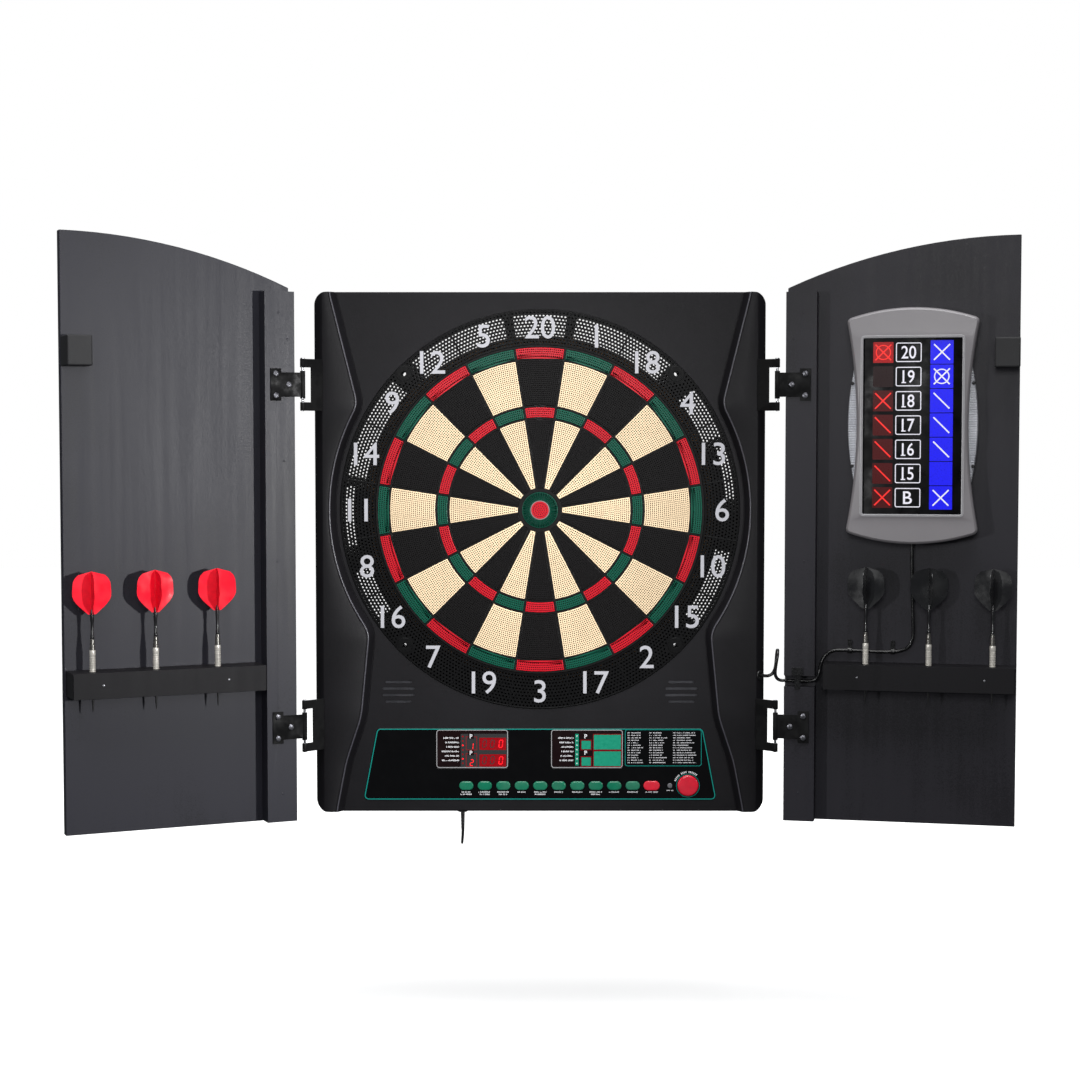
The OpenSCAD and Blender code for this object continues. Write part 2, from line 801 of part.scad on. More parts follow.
module batten(notched)
    color("#4a4c50")
    difference() {
        slab(batten_t, 0) rect(door_in, batten_out, door_z + 1, board_top - 2);
        for (z = hinge_z, p = leaf_screws)
            rod_y(14, -1, leaf_screw_r, p[0], z + p[1]);
        if (notched)
            translate([door_in - 1, -1, notch_z[0]])
                cube([batten_w + 2, notch_d + 1, notch_z[1] - notch_z[0]]);
    }

module dart_rack(u_start)
    color("#3c3d40")
    difference() {
        slab(batten_t, batten_t - rack_d) rect(u_start, rack_end, rack_z, rack_top);
        for (u = dart_u) translate([u, -dart_n, 0]) {
            translate([0, 0, barrel_foot]) cylinder(r = dart_r + dart_clear, h = rack_h);
            translate([0, 0, rack_z - 1]) cylinder(r = 2.4, h = rack_h);
        }
    }

module catch_block()
    color("#3c3d40") slab(batten_t, batten_t - catch_d)
        rect(door_out - catch_w, door_out, catch_z, catch_z + catch_h);

module hinge_leaves()
    color("#2a2a2d")
    for (z = hinge_z) translate([0, 0, z]) difference() {
        union() {
            cylinder(r = barrel_r, h = leaf_barrel_h, center = true);
            slab(0, -leaf_t) {
                rect(pin_r + 0.3, leaf_neck_end, -leaf_neck_h / 2, leaf_neck_h / 2);
                rect(leaf_neck_end, leaf_end, -leaf_wide_h / 2, leaf_wide_h / 2);
            }
        }
        cylinder(r = pin_r + pin_clear, h = leaf_barrel_h + 2, center = true);
        for (p = leaf_screws) rod_y(1, -leaf_t - 1, leaf_screw_r + 0.2, p[0], p[1]);
    }

module leaf_screw_set()
    color("#b9b9bc")
    for (z = hinge_z, p = leaf_screws) {
        rod_y(14, -leaf_t - eps, leaf_screw_r, p[0], z + p[1]);
        rod_y(-leaf_t, -leaf_t - 1.3, 2 * leaf_screw_r, p[0], z + p[1]);
    }

// ---- Darts, each a tip, a barrel, a stem and a flight ----

module flight_outline()
    polygon(let (w = flight_w / 2) [
        [-0.2 * w, 0], [0.2 * w, 0], [0.64 * w, 9], [w, 21], [0.95 * w, 38], [0.45 * w, flight_h],
        [-0.45 * w, flight_h], [-0.95 * w, 38], [-w, 21], [-0.64 * w, 9]
    ]);

module dart(k)
    translate([dart_u[3 - k], -dart_n, 0]) {
        // Soft tip, with a peg up into the barrel
        translate([0, 0, barrel_foot - tip_len]) {
            cylinder(r1 = 0.6, r2 = 1.7, h = tip_len - part_gap);
            cylinder(r = peg_r, h = tip_len + peg_len - part_gap);
        }
        translate([0, 0, barrel_foot + part_gap]) difference() {
            union() {
                cylinder(r = dart_r, h = barrel_len);
                translate([0, 0, barrel_len]) cylinder(r1 = dart_r, r2 = stem_r, h = taper_len);
            }
            translate([0, 0, -1]) cylinder(r = peg_r + 0.1, h = peg_len + 2);
            translate([0, 0, barrel_len + taper_len - peg_len]) cylinder(r = 1.3, h = peg_len + 1);
        }
        translate([0, 0, taper_top + 2 * part_gap]) difference() {
            union() {
                cylinder(r = stem_r, h = stem_len + 6);
                translate([0, 0, part_gap - peg_len]) cylinder(r = 1.2, h = peg_len);
            }
            translate([0, 0, stem_len]) for (turn = [0, 90]) rotate([0, 0, turn])
                translate([-5, -flight_t / 2 - part_gap, -1])
                    cube([10, flight_t + 2 * part_gap, 10]);
        }
        translate([0, 0, flight_foot + 2 * part_gap]) for (turn = [0, 90]) rotate([0, 0, turn])
            slab(flight_t / 2, -flight_t / 2) flight_outline();
    }

// ---- Scorer on the right door ----

// Hourglass outline: arched ends and hollow sides
module scorer_outline(inset = 0)
    translate([scorer_u, 0]) difference() {
        intersection() {
            rect(-scorer_w / 2 + inset, scorer_w / 2 - inset, scorer_foot, scorer_top);
            translate([0, scorer_top - end_r]) circle(end_r - inset, $fn = 180);
            translate([0, scorer_foot + end_r]) circle(end_r - inset, $fn = 180);
        }
        for (s = [-1, 1])
            translate([s * (scorer_waist / 2 + waist_r), scorer_mid])
                circle(waist_r + inset, $fn = 360);
    }

module scorer_frame()
    color("#b4b4b6")
    difference() {
        slab(batten_t, -scorer_n) scorer_outline();
        slab(batten_t + 1, -scorer_n + scorer_wall) scorer_outline(scorer_wall);
        slab(0, -scorer_n - 1) rect(scorer_u - window_w / 2, scorer_u + window_w / 2,
            window_foot, window_foot + window_h);
        slab(batten_t - 2, 3) rect(scorer_u - scorer_w, scorer_u + scorer_w,
            scorer_mid - lens_len / 2 - 1, scorer_mid + lens_len / 2 + 1);
        translate([scorer_u, -cable_route[0][1], scorer_foot - 1])
            cylinder(r = cable_r + 0.2, h = 2 * scorer_wall);
    }

module scorer_lens()
    color("#b8bcc2")
    slab(batten_t - 3, 4) difference() {
        intersection() {
            rect(scorer_u - lens_half, scorer_u + lens_half, scorer_mid - lens_len / 2,
                scorer_mid + lens_len / 2);
            for (s = [-1, 1])
                translate([scorer_u + s * (lens_half - lens_r), scorer_mid])
                    circle(lens_r, $fn = 360);
        }
        rect(scorer_u - scorer_waist / 2 + 9, scorer_u + scorer_waist / 2 - 9,
            scorer_mid - lens_len / 2 + 8, scorer_mid + lens_len / 2 - 8);
    }

module scorer_screen()
    color("#08090b")
    slab(-scorer_n + scorer_wall + 2, -scorer_n + scorer_wall)
        rect(scorer_u - window_w / 2 - 1.5, scorer_u + window_w / 2 + 1.5,
            window_foot - 1.5, window_foot + window_h + 1.5);

module scorer_board()
    color("#1f5a33")
    slab(1.6, 0) rect(scorer_u - scorer_waist / 2 + 11, scorer_u + scorer_waist / 2 - 11,
        window_foot + 4, window_foot + window_h - 4);

// ---- Cords and what holds them ----

module power_cord()
    color("#141414") {
        tube(cord_route, cord_r);
        tube(lead_route, cord_r);
    }

module power_cord_coil()
    color("#141414")
    translate([coil_at[0], coil_at[1] + coil_turns_deep * cord_r, coil_at[2]]) rotate([90, 0, 0])
        rotate_extrude() rect(coil_in_r, coil_r, 0, coil_turns_deep * cord_d);

module wall_adapter()
    color("#1d1d1f")
    translate(adapter_at) {
        cube(adapter_size, center = true);
        translate([-adapter_size[0] / 2 - adapter_boot, 0, 0]) rotate([0, 90, 0]) difference() {
            cylinder(r = 3.5, h = adapter_boot + eps);
            translate([0, 0, -1]) cylinder(r = cord_r + 0.05, h = 2);
        }
        for (s = [-1, 1])
            translate([adapter_size[0] / 2 - eps, -0.75, s * 6.35 - 3.2]) cube([blade_len, 1.5, 6.4]);
    }

module scorer_cable()
    color("#141414")
    tube([for (p = cable_route) [p[0], -p[1], p[2]]], cable_r);

// Slack loop from the door's notch to the grommet, at the angle where the door stands
module scorer_cable_loop()
    color("#141414")
    tube(concat(
        [for (u = [9.9, 6]) right_door_point([u, -7, grommet_z - 4])],
        [for (p = [[3.6, 5.6, -2.6], [0.9, 5.2, 0.8], [0, 4.6, 5.5], [0.6, 4, 13], [1.8, 3.7, 21],
            [2.8, 4.8, 26.8], [3.3, 7.8, 30.8], [3.6, 12, 32.2]])
            [xh + p[0], yh + p[1], grommet_z + p[2]]],
        [for (p = [[14.6, -3.8, 30.6], [14.4, -1, 26.5], [14, 0, 20], [13.3, -0.3, 13],
            [11.8, -1.3, 7], [8.6, -2.6, 2.4], [4.2, -2.2, 0.2], [0, 0.4, -0.2], [-3.5, 3.6, 0]])
            [hw + p[0], wing_y + p[1], grommet_z + p[2]]],
        [[hw - side_bevel / 2 - grommet_in, wing_y + side_bevel / 2 + grommet_in, grommet_z]]
    ), cable_r);

// Two screwed clips over the cable, and a stick-on clip across the batten's notch
module cable_clips()
    color("#1a1a1b") {
        for (k = [0, 1]) translate([clip_u[k], -cable_route[0][1], clip_z[k]]) {
            difference() {
                translate([-2.5, 0, 0]) rotate([0, 90, 0]) cylinder(r = cable_r + 1.6, h = 5);
                translate([-3, 0, 0]) rotate([0, 90, 0]) cylinder(r = cable_r + 0.2, h = 6);
                translate([-3, batten_t + cable_route[0][1], -10]) cube([6, 10, 20]);
            }
            translate([-2.5, 1.3, 2.9]) cube([5, 1.2, 10]);
            rod_y(1.3 + eps, -0.7, 2.6, 0, 9.5);
        }
        slab(0, -3) rect(19.5, 32.5, notch_z[1] + 1, notch_z[1] + 10);
        slab(0, -1.2) rect(23, 29, notch_z[0] - 3, notch_z[1] + 2);
    }

front_bezel();
back_cover();
catch_ring();
target_spider();
segments_red();
segments_green();
segments_cream();
segments_black();
bullseye();
sensor_membrane();
backing_plate();
control_overlay();
led_displays();
circuit_board();
speakers();
cord_glands();
housing_screws();
hinge_brackets();
hinge_pins();
power_cord();
power_cord_coil();
wall_adapter();
scorer_cable_loop();
for (k = [1:10])
    game_button(k);
power_button();
reset_button();
start_button();
left_door() door_panel();  // left_door_panel
left_door() batten(false);  // left_batten
left_door() dart_rack(rack_start[0]);  // left_dart_rack
left_door() catch_block();  // left_catch_block
left_door() hinge_leaves();  // left_hinge_leaves
left_door() leaf_screw_set();  // left_leaf_screws
right_door() door_panel();  // right_door_panel
right_door() batten(true);  // right_batten
right_door() dart_rack(rack_start[1]);  // right_dart_rack
right_door() catch_block();  // right_catch_block
right_door() hinge_leaves();  // right_hinge_leaves
right_door() leaf_screw_set();  // right_leaf_screws
right_door() scorer_frame();
right_door() scorer_lens();
right_door() scorer_screen();
right_door() scorer_board();
right_door() scorer_cable();
right_door() cable_clips();
for (k = [1:3])
    color("#e02038") left_door() dart(k);
for (k = [1:3])
    color("#1d1d20") right_door() dart(k);
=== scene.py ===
"""Looks of the dart board cabinet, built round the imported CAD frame. Lengths are millimetres until a mesh is made."""
import math
import random

import bmesh
import bpy
import numpy as np
from mathutils import Matrix, Vector
from mathutils.geometry import tessellate_polygon


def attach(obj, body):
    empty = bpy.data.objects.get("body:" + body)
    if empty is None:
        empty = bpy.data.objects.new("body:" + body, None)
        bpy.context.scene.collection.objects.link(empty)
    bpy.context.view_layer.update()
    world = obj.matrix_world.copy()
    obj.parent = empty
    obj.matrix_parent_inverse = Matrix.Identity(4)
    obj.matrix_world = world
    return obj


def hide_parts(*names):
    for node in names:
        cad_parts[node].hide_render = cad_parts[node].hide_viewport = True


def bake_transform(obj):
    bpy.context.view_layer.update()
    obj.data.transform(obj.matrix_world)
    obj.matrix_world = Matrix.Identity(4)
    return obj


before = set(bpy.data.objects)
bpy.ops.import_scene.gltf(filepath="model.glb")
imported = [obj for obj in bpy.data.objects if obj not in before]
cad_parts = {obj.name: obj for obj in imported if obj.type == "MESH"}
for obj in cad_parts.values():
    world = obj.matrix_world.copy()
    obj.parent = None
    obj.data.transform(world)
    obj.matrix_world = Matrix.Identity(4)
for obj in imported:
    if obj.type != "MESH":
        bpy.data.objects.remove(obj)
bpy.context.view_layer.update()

MM = 0.001
TAU = 2 * math.pi
rng = random.Random(7)

# Planes of the housing and the target, along Y
FACE_Y, WING_Y, COVER_Y, OVERLAY_Y, RING_Y, SEGMENT_Y, SEGMENT_REAR = -38.0, -46.0, -3.0, -38.6, -39.0, -41.0, -33.2
TOP, BOTTOM, HALF_W = 263.5, -368.5, 273.0

# The doors: where the right hinge pin stands, and how far each door is tilted forward at rest
PIN = (284.0, -66.0)
TILT = {"left": 24.4, "right": 12.4}


def door_matrix(side):
    """From a door's own frame (X along the door, -Y out of its inner side) to the object's frame."""
    m = Matrix.Translation((*PIN, 0)) @ Matrix.Rotation(-math.radians(TILT[side]), 4, "Z")
    return Matrix.Scale(-1, 4, (1, 0, 0)) @ m if side == "left" else m


DOOR = {side: door_matrix(side) for side in TILT}


def linked(obj):
    bpy.context.scene.collection.objects.link(obj)
    return obj


# ---- Camera: the viewing angle of the photograph ----

CAM_BACK, CAM_UP, CAM_PITCH = 2480.0, 85.0, 2.98
cam_data = bpy.data.cameras.new("camera")
cam_data.sensor_width, cam_data.lens, cam_data.shift_y = 36, 68.2, 0.006
cam_data.clip_start, cam_data.clip_end = 0.05, 200
camera = linked(bpy.data.objects.new("camera", cam_data))
camera.location = (0, (SEGMENT_Y - CAM_BACK) * MM, CAM_UP * MM)
camera.rotation_euler = (math.radians(90 - CAM_PITCH), 0, 0)
bpy.context.scene.camera = camera

# ---- Materials ----


def scaled(colour, k):
    return tuple(min(1.0, c * k) for c in colour)


def linear(rgb):
    """A colour given as it looks on a screen, from 0 to 255."""
    return tuple(c / 255 / 12.92 if c <= 10 else ((c / 255 + 0.055) / 1.055) ** 2.4 for c in rgb)


class Nodes:
    """Short calls for building a material's node tree."""

    def __init__(self, name):
        self.material = bpy.data.materials.new(name)
        self.material.use_nodes = True
        self.tree = self.material.node_tree
        self.shader = self.tree.nodes["Principled BSDF"]
        self.coords = self.make("ShaderNodeTexCoord").outputs["Object"]

    def make(self, kind, inputs=(), **values):
        """A node with settings, and inputs that are each a number, a colour or another node's output."""
        node = self.tree.nodes.new(kind)
        for key, value in values.items():
            setattr(node, key, value)
        self.fill(node, inputs)
        return node

    def fill(self, node, inputs):
        for key, value in inputs:
            if isinstance(value, bpy.types.NodeSocket):
                self.tree.links.new(value, node.inputs[key])
            else:
                node.inputs[key].default_value = value

    def stretched(self, scale):
        return self.make("ShaderNodeMapping", [("Scale", scale), ("Vector", self.coords)]).outputs["Vector"]

    def noise(self, scale, detail=3.0, rough=0.55, vector=None):
        return self.make("ShaderNodeTexNoise", [("Scale", scale), ("Detail", detail), ("Roughness", rough),
                                                ("Vector", vector or self.coords)]).outputs["Fac"]

    def mapped(self, value, low, high, start=0.35, end=0.65):
        return self.make("ShaderNodeMapRange", [("From Min", start), ("From Max", end), ("To Min", low),
                                                ("To Max", high), ("Value", value)]).outputs["Result"]

    def ramp(self, value, *stops):
        node = self.make("ShaderNodeValToRGB", [("Fac", value)])
        for element, (at, colour) in zip(node.color_ramp.elements, stops):
            element.position, element.color = at, (*colour, 1)
        return node.outputs["Color"]

    def mixed(self, fac, a, colour):
        return self.make("ShaderNodeMix", [("Factor", fac), ("A", a), ("B", (*colour, 1))],
                         data_type="RGBA").outputs["Result"]

    def summed(self, a, b, share):
        return self.make("ShaderNodeMath", [(0, b), (1, share), (2, a)], operation="MULTIPLY_ADD").outputs[0]

    def finished(self, bump, strength, distance, **values):
        """Sets the shader's sockets, adds the bump and gives the material."""
        self.fill(self.shader, [(key.replace("_", " "), value) for key, value in values.items()])
        node = self.make("ShaderNodeBump", [("Strength", strength), ("Distance", distance * MM), ("Height", bump)])
        self.fill(self.shader, [("Normal", node.outputs["Normal"])])
        return self.material


def moulded(name, rgb, rough, grain, depth, spread=0.12, specular=0.5, wear=0.25, strength=0.35):
    """Moulded plastic: fine grain of so many millimetres, faint blotches, and paler worn edges."""
    n, colour = Nodes(name), linear(rgb)
    fine = n.noise(1000 / grain, 2, 0.6)
    base = n.ramp(n.summed(n.noise(14, 4, 0.6), fine, 0.25),
                  (0.4, scaled(colour, 1 - spread)), (0.8, scaled(colour, 1 + spread)))
    if wear:
        worn = n.mapped(n.make("ShaderNodeNewGeometry").outputs["Pointiness"], 0, wear, 0.53, 0.62)
        base = n.mixed(worn, base, scaled(colour, 2.2))
    return n.finished(n.summed(fine, n.noise(420 / grain, 2), 0.4), strength, depth, Base_Color=base,
                      Roughness=n.mapped(fine, rough - 0.06, rough + 0.08), Specular_IOR_Level=specular)


def painted(name, rgb, rough=0.42, specular=0.4, spread=0.24, streak=0.35):
    """Painted fibreboard: roller orange peel over faint upright streaks, with specks of dust."""
    n, colour = Nodes(name), linear(rgb)
    streaks = n.noise(1, 5, 0.65, n.stretched((90, 90, 3.5)))
    peel = n.noise(900, 2, 0.5)
    tone = n.summed(n.summed(n.noise(5, 3, 0.5), streaks, streak), peel, 0.8)
    base = n.ramp(tone, (0.95, scaled(colour, 1 - spread)), (1.35, scaled(colour, 1 + spread)))
    specks = n.make("ShaderNodeTexVoronoi", [("Scale", 130), ("Vector", n.coords)]).outputs["Distance"]
    base = n.mixed(n.mapped(specks, 1, 0, 0.0, 0.035), base, scaled(colour, 2.4))
    return n.finished(n.summed(peel, streaks, 0.4), 0.5, 0.1, Base_Color=base, Specular_IOR_Level=specular,
                      Roughness=n.mapped(n.summed(peel, streaks, 0.5), rough - 0.07, rough + 0.1, 0.5, 1.0))


def metal(name, rgb, rough=0.25, brushed=(600, 600, 40), metallic=1.0):
    """Metal with brushed or turned lines and faint stains."""
    n, colour = Nodes(name), linear(rgb)
    lines = n.noise(1, 3, 0.6, n.stretched(brushed))
    stain = n.noise(60, 3, 0.6)
    return n.finished(lines, 0.25, 0.01, Metallic=metallic,
                      Base_Color=n.ramp(stain, (0.3, scaled(colour, 0.78)), (0.7, colour)),
                      Roughness=n.mapped(n.summed(lines, stain, 0.4), rough - 0.08, rough + 0.12, 0.5, 0.9))


def glossy(name, rgb, rough, coat, specular=0.5, depth=0.01):
    """Smooth gloss plastic or paint with faint ripples and fingerprints."""
    n, colour = Nodes(name), linear(rgb)
    smear = n.noise(35, 5, 0.6)
    return n.finished(n.noise(180, 2), 0.15, depth, Coat_Weight=coat, Coat_Roughness=0.06,
                      Base_Color=n.ramp(n.noise(120, 2), (0.3, scaled(colour, 0.9)), (0.7, scaled(colour, 1.1))),
                      Roughness=n.mapped(smear, rough * 0.7, rough * 1.9), Specular_IOR_Level=specular)


def lit(name, rgb, glow, scale=500, rough=0.35):
    """A lit or printed patch. Its glow has the fine unevenness of lamps behind it; on print, which no lamp lights from
    behind, the faint glow is painted light.
    """
    n, colour = Nodes(name), linear(rgb)
    uneven = n.noise(scale, 2)
    tone = n.ramp(uneven, (0.3, scaled(colour, 0.9)), (0.7, scaled(colour, 1.05)))
    n.fill(n.shader, [("Base Color", tone), ("Emission Color", tone), ("Emission Strength", glow),
                      ("Roughness", n.mapped(uneven, rough - 0.08, rough + 0.08)), ("Specular IOR Level", 0.15)])
    return n.material


def rubbery(name, rgb, rough=0.38):
    """Cord sheath or soft moulding: fine grain under faint dust."""
    n, colour = Nodes(name), linear(rgb)
    fine = n.noise(900, 2)
    base = n.ramp(n.noise(60, 4), (0.35, scaled(colour, 0.8)), (0.75, scaled(colour, 1.4)))
    return n.finished(fine, 0.2, 0.04, Base_Color=base, Roughness=n.mapped(fine, rough - 0.08, rough + 0.1))


def fibre(name, rgb):
    """Pressed hardboard."""
    n, colour = Nodes(name), linear(rgb)
    chips = n.noise(1, 4, 0.7, n.stretched((500, 900, 500)))
    base = n.ramp(chips, (0.3, scaled(colour, 0.6)), (0.7, scaled(colour, 1.25)))
    return n.finished(chips, 0.5, 0.1, Base_Color=base, Roughness=n.mapped(chips, 0.7, 0.9))


def board(name, rgb):
    """Circuit board: solder mask over a net of tracks."""
    n, colour = Nodes(name), linear(rgb)
    brick = n.make("ShaderNodeTexBrick", [
        ("Scale", 90), ("Color1", (*scaled(colour, 1.5), 1)), ("Color2", (*scaled(colour, 1.2), 1)),
        ("Mortar", (*colour, 1)), ("Vector", n.coords)])
    return n.finished(brick.outputs["Fac"], 0.3, 0.05, Base_Color=brick.outputs["Color"],
                      Roughness=n.mapped(n.noise(90), 0.3, 0.5))


def clear_plastic(name):
    """The scorer's ribbed lens: milky, half-clear plastic."""
    n = Nodes(name)
    haze = n.noise(40, 3)
    base = n.ramp(haze, (0.3, linear((196, 198, 206))), (0.7, linear((222, 224, 230))))
    return n.finished(n.noise(300, 2), 0.1, 0.02, Base_Color=base, Roughness=n.mapped(haze, 0.12, 0.26),
                      Transmission_Weight=0.4, IOR=1.49)


TURNED = (80, 80, 900)
MAT = {
    "housing": moulded("housing_plastic", (16, 15, 18), 0.5, 1.5, 0.12, spread=0.24, specular=0.2, strength=0.7),
    # A paler, glossier copy of the housing plastic for the top of the recess's bevel: the paler colour is a painted
    # highlight, the lower roughness real gloss.
    "housing_edge": moulded("housing_painted_edge_highlight", (60, 59, 66), 0.34, 1.1, 0.03),
    "cover": moulded("cover_plastic", (38, 38, 41), 0.55, 1.6, 0.1, strength=0.6),
    "ring": moulded("ring_plastic", (7, 7, 8), 0.4, 2.0, 0.03, specular=0.12),
    "spider": moulded("spider_plastic", (13, 12, 12), 0.45, 1.2, 0.04, specular=0.16),
    "bull_ring": moulded("bull_ring_plastic", (176, 150, 152), 0.4, 1.0, 0.02, wear=0),
    "numbers": moulded("number_plastic", (174, 174, 180), 0.4, 1.5, 0.02, spread=0.05, wear=0),
    "membrane": moulded("membrane_rubber", (120, 122, 124), 0.7, 1.5, 0.03, wear=0),
    "hardboard": fibre("hardboard_fibre", (128, 96, 62)),
    "overlay": glossy("overlay_gloss", (5, 5, 6), 0.1, 0.2, 0.25),
    # The print glows faintly though no lamp lights it from behind: painted light. The white is also used for the green
    # display's round lamps, which are lit.
    "teal": lit("print_teal_painted_glow", (20, 128, 118), 0.05, rough=0.3),
    "white_print": lit("print_white_lamps_and_painted_glow", (205, 205, 208), 0.05, rough=0.3),
    "grey_print": lit("print_grey_painted_glow", (150, 150, 152), 0.03, rough=0.3),
    "display": glossy("display_dark", (20, 7, 9), 0.15, 0.2, 0.25),
    "display_green": lit("display_green_glow", (24, 128, 102), 0.2, 260),
    "display_red": lit("display_red_dim", (124, 2, 12), 0.35, 900),
    "led_red": lit("led_red_glow", (236, 24, 34), 0.9, 900),
    "board": board("board_green", (28, 88, 54)),
    "speaker": metal("speaker_steel", (84, 84, 88), 0.4),
    "gland": rubbery("gland_black", (24, 24, 25)),
    "cord": rubbery("cord_sheath", (20, 20, 21), 0.3),
    "cable": rubbery("cable_sheath", (17, 17, 18), 0.22),
    "adapter": moulded("adapter_plastic", (28, 28, 30), 0.45, 1.4, 0.06),
    "steel": metal("screw_steel", (120, 120, 124), 0.35),
    "pin": metal("pin_steel", (168, 168, 172), 0.28, (900, 900, 900)),
    # Dark plastic for black parts, the unlit display figures and the adapter's parting line, and also the screw slots,
    # which are flat dark crosses on the heads: painted shade in the slots.
    "dark": moulded("dark_parts_and_painted_slot_shade", (20, 20, 22), 0.6, 1.0, 0.02, wear=0),
    "hinge": glossy("hinge_enamel", (9, 9, 10), 0.62, 0.0, 0.2, 0.03),
    # The doors share one paint in two copies: the left one is a little lighter and bluer than the right, painted light
    # for the brighter lamp on that door.
    "door_left": painted("door_paint_left_lit_copy", (34, 34, 41), specular=0.25),
    "door_right": painted("door_paint_right_shaded_copy", (31, 30, 35), specular=0.22),
    "rack": painted("rack_paint", (15, 14, 17), 0.5, 0.18),
    "catch": painted("catch_paint", (26, 26, 28), 0.6),
    "button_green": glossy("button_green", (12, 106, 78), 0.25, 0.3),
    "button_red": glossy("button_red", (200, 12, 42), 0.25, 0.3),
    "button_grey": glossy("button_grey", (92, 92, 96), 0.3, 0.2),
    "silver": moulded("scorer_silver", (117, 114, 117), 0.36, 0.8, 0.02, spread=0.04, wear=0, strength=0.25),
    "silver_lip": moulded("scorer_lip", (144, 143, 146), 0.28, 0.8, 0.01, spread=0.04, wear=0, strength=0.2),
    "screen": glossy("screen_glass", (6, 6, 8), 0.3, 0.0, 0.12),
    "score_red": lit("score_red_glow", (150, 14, 18), 0.3),
    "score_dim": lit("score_red_dim", (72, 8, 10), 0.1, 900),
    "score_off": lit("score_red_off", (32, 9, 11), 0.05, 900),
    "score_blue": lit("score_blue_glow", (18, 18, 212), 0.45),
    "score_mark": lit("score_mark_white", (214, 212, 222), 0.35, 700),
    "score_mark_red": lit("score_mark_red", (225, 44, 40), 0.45, 700),
    "lens": clear_plastic("lens_clear"),
    "tip": glossy("tip_plastic", (20, 20, 21), 0.35, 0.1),
    "nickel": metal("barrel_nickel", (212, 208, 200), 0.22, TURNED, 0.35),
    "taper": metal("barrel_taper", (108, 106, 102), 0.25, TURNED, 0.7),
    "leaf_screw": metal("leaf_screw_steel", (112, 112, 118), 0.36),
    "stem": glossy("stem_plastic", (22, 22, 24), 0.2, 0.5),
    "flight_red": glossy("flight_crimson", (242, 4, 40), 0.4, 0.06, 0.25),
    "flight_black": glossy("flight_black", (18, 18, 20), 0.2, 0.8),
}
# Each segment colour, and beside it a far darker copy for the walls of its dart holes: painted shade in the holes.
for colour, rgb, rough, spread, specular, pit_shade, pit_shade_rough in (
        ("red", (192, 14, 34), 0.36, 0.1, 0.25, (52, 0, 8), 0.7),
        ("green", (0, 78, 60), 0.36, 0.1, 0.22, (0, 16, 14), 0.7),
        ("cream", (244, 217, 178), 0.42, 0.07, 0.5, (48, 33, 21), 0.8),
        ("black", (13, 11, 12), 0.45, 0.1, 0.14, (2, 2, 2), 0.8)):
    MAT[colour] = moulded(f"segment_{colour}_plastic", rgb, rough, 1.0, 0.03, spread, specular, wear=0)
    MAT[colour + "_pit"] = moulded(f"segment_{colour}_pit", pit_shade, pit_shade_rough, 1.0, 0.02, wear=0)

# ---- Mesh building ----


def circle(r, n=64, x=0.0, z=0.0):
    return [(x + r * math.cos(TAU * k / n), z + r * math.sin(TAU * k / n)) for k in range(n)]


def rounded(x0, x1, z0, z1, r, n=6):
    """A rectangle with round corners, anticlockwise."""
    corners = ((x1 - r, z0 + r, -0.25), (x1 - r, z1 - r, 0), (x0 + r, z1 - r, 0.25), (x0 + r, z0 + r, 0.5))
    return [(cx + r * math.cos(TAU * (a + 0.25 * k / n)), cz + r * math.sin(TAU * (a + 0.25 * k / n)))
            for cx, cz, a in corners for k in range(n + 1)]


def oval(w, h, x=0.0, z=0.0):
    """A slot outline with round ends."""
    return rounded(x - w / 2, x + w / 2, z - h / 2, z + h / 2, h / 2 - 1e-4, 10)


def box(x0, x1, z0, z1):
    return [(x0, z0), (x1, z0), (x1, z1), (x0, z1)]


def offset(loop, d):
    """Each corner of a closed loop moved to the loop's left by d."""
    if not d:
        return list(loop)
    out = []
    for i, q in enumerate(loop):
        p, r = loop[i - 1], loop[(i + 1) % len(loop)]
        a, b = (q[0] - p[0], q[1] - p[1]), (r[0] - q[0], r[1] - q[1])
        la, lb = math.hypot(*a) or 1, math.hypot(*b) or 1
        mx, mz = -a[1] / la - b[1] / lb, a[0] / la + b[0] / lb
        k = 2 * d / max(mx * mx + mz * mz, 0.5)
        out.append((q[0] + k * mx, q[1] + k * mz))
    return out


def turned_loop(loop, angle, x=0.0, z=0.0):
    """A loop turned about its origin, then moved to x, z."""
    c, s = math.cos(angle), math.sin(angle)
    return [(x + a * c - b * s, z + a * s + b * c) for a, b in loop]


def filled(loops):
    """Triangles that fill the first loop around the others, facing the front."""
    flat = [p for loop in loops for p in loop]
    out = []
    for a, b, c in tessellate_polygon([[Vector((p[0], p[1], 0)) for p in loop] for loop in loops]):
        (ax, az), (bx, bz), (cx, cz) = flat[a], flat[b], flat[c]
        area = (bx - ax) * (cz - az) - (bz - az) * (cx - ax)
        if abs(area) > 1e-9:
            out.append((a, b, c) if area > 0 else (a, c, b))
    return out


def grid_faces(rows, n):
    """Quads between rows of n points, open along both sides."""
    return [(k * n + j, k * n + j + 1, (k + 1) * n + j + 1, (k + 1) * n + j)
            for k in range(rows - 1) for j in range(n - 1)]


def tube_faces(rows, n):
    """Quads round rows of n points, closed at both ends."""
    faces = [(k * n + j, k * n + (j + 1) % n, (k + 1) * n + (j + 1) % n, (k + 1) * n + j)
             for k in range(rows - 1) for j in range(n)]
    return faces + [tuple(range(n - 1, -1, -1)), tuple(range((rows - 1) * n, rows * n))]


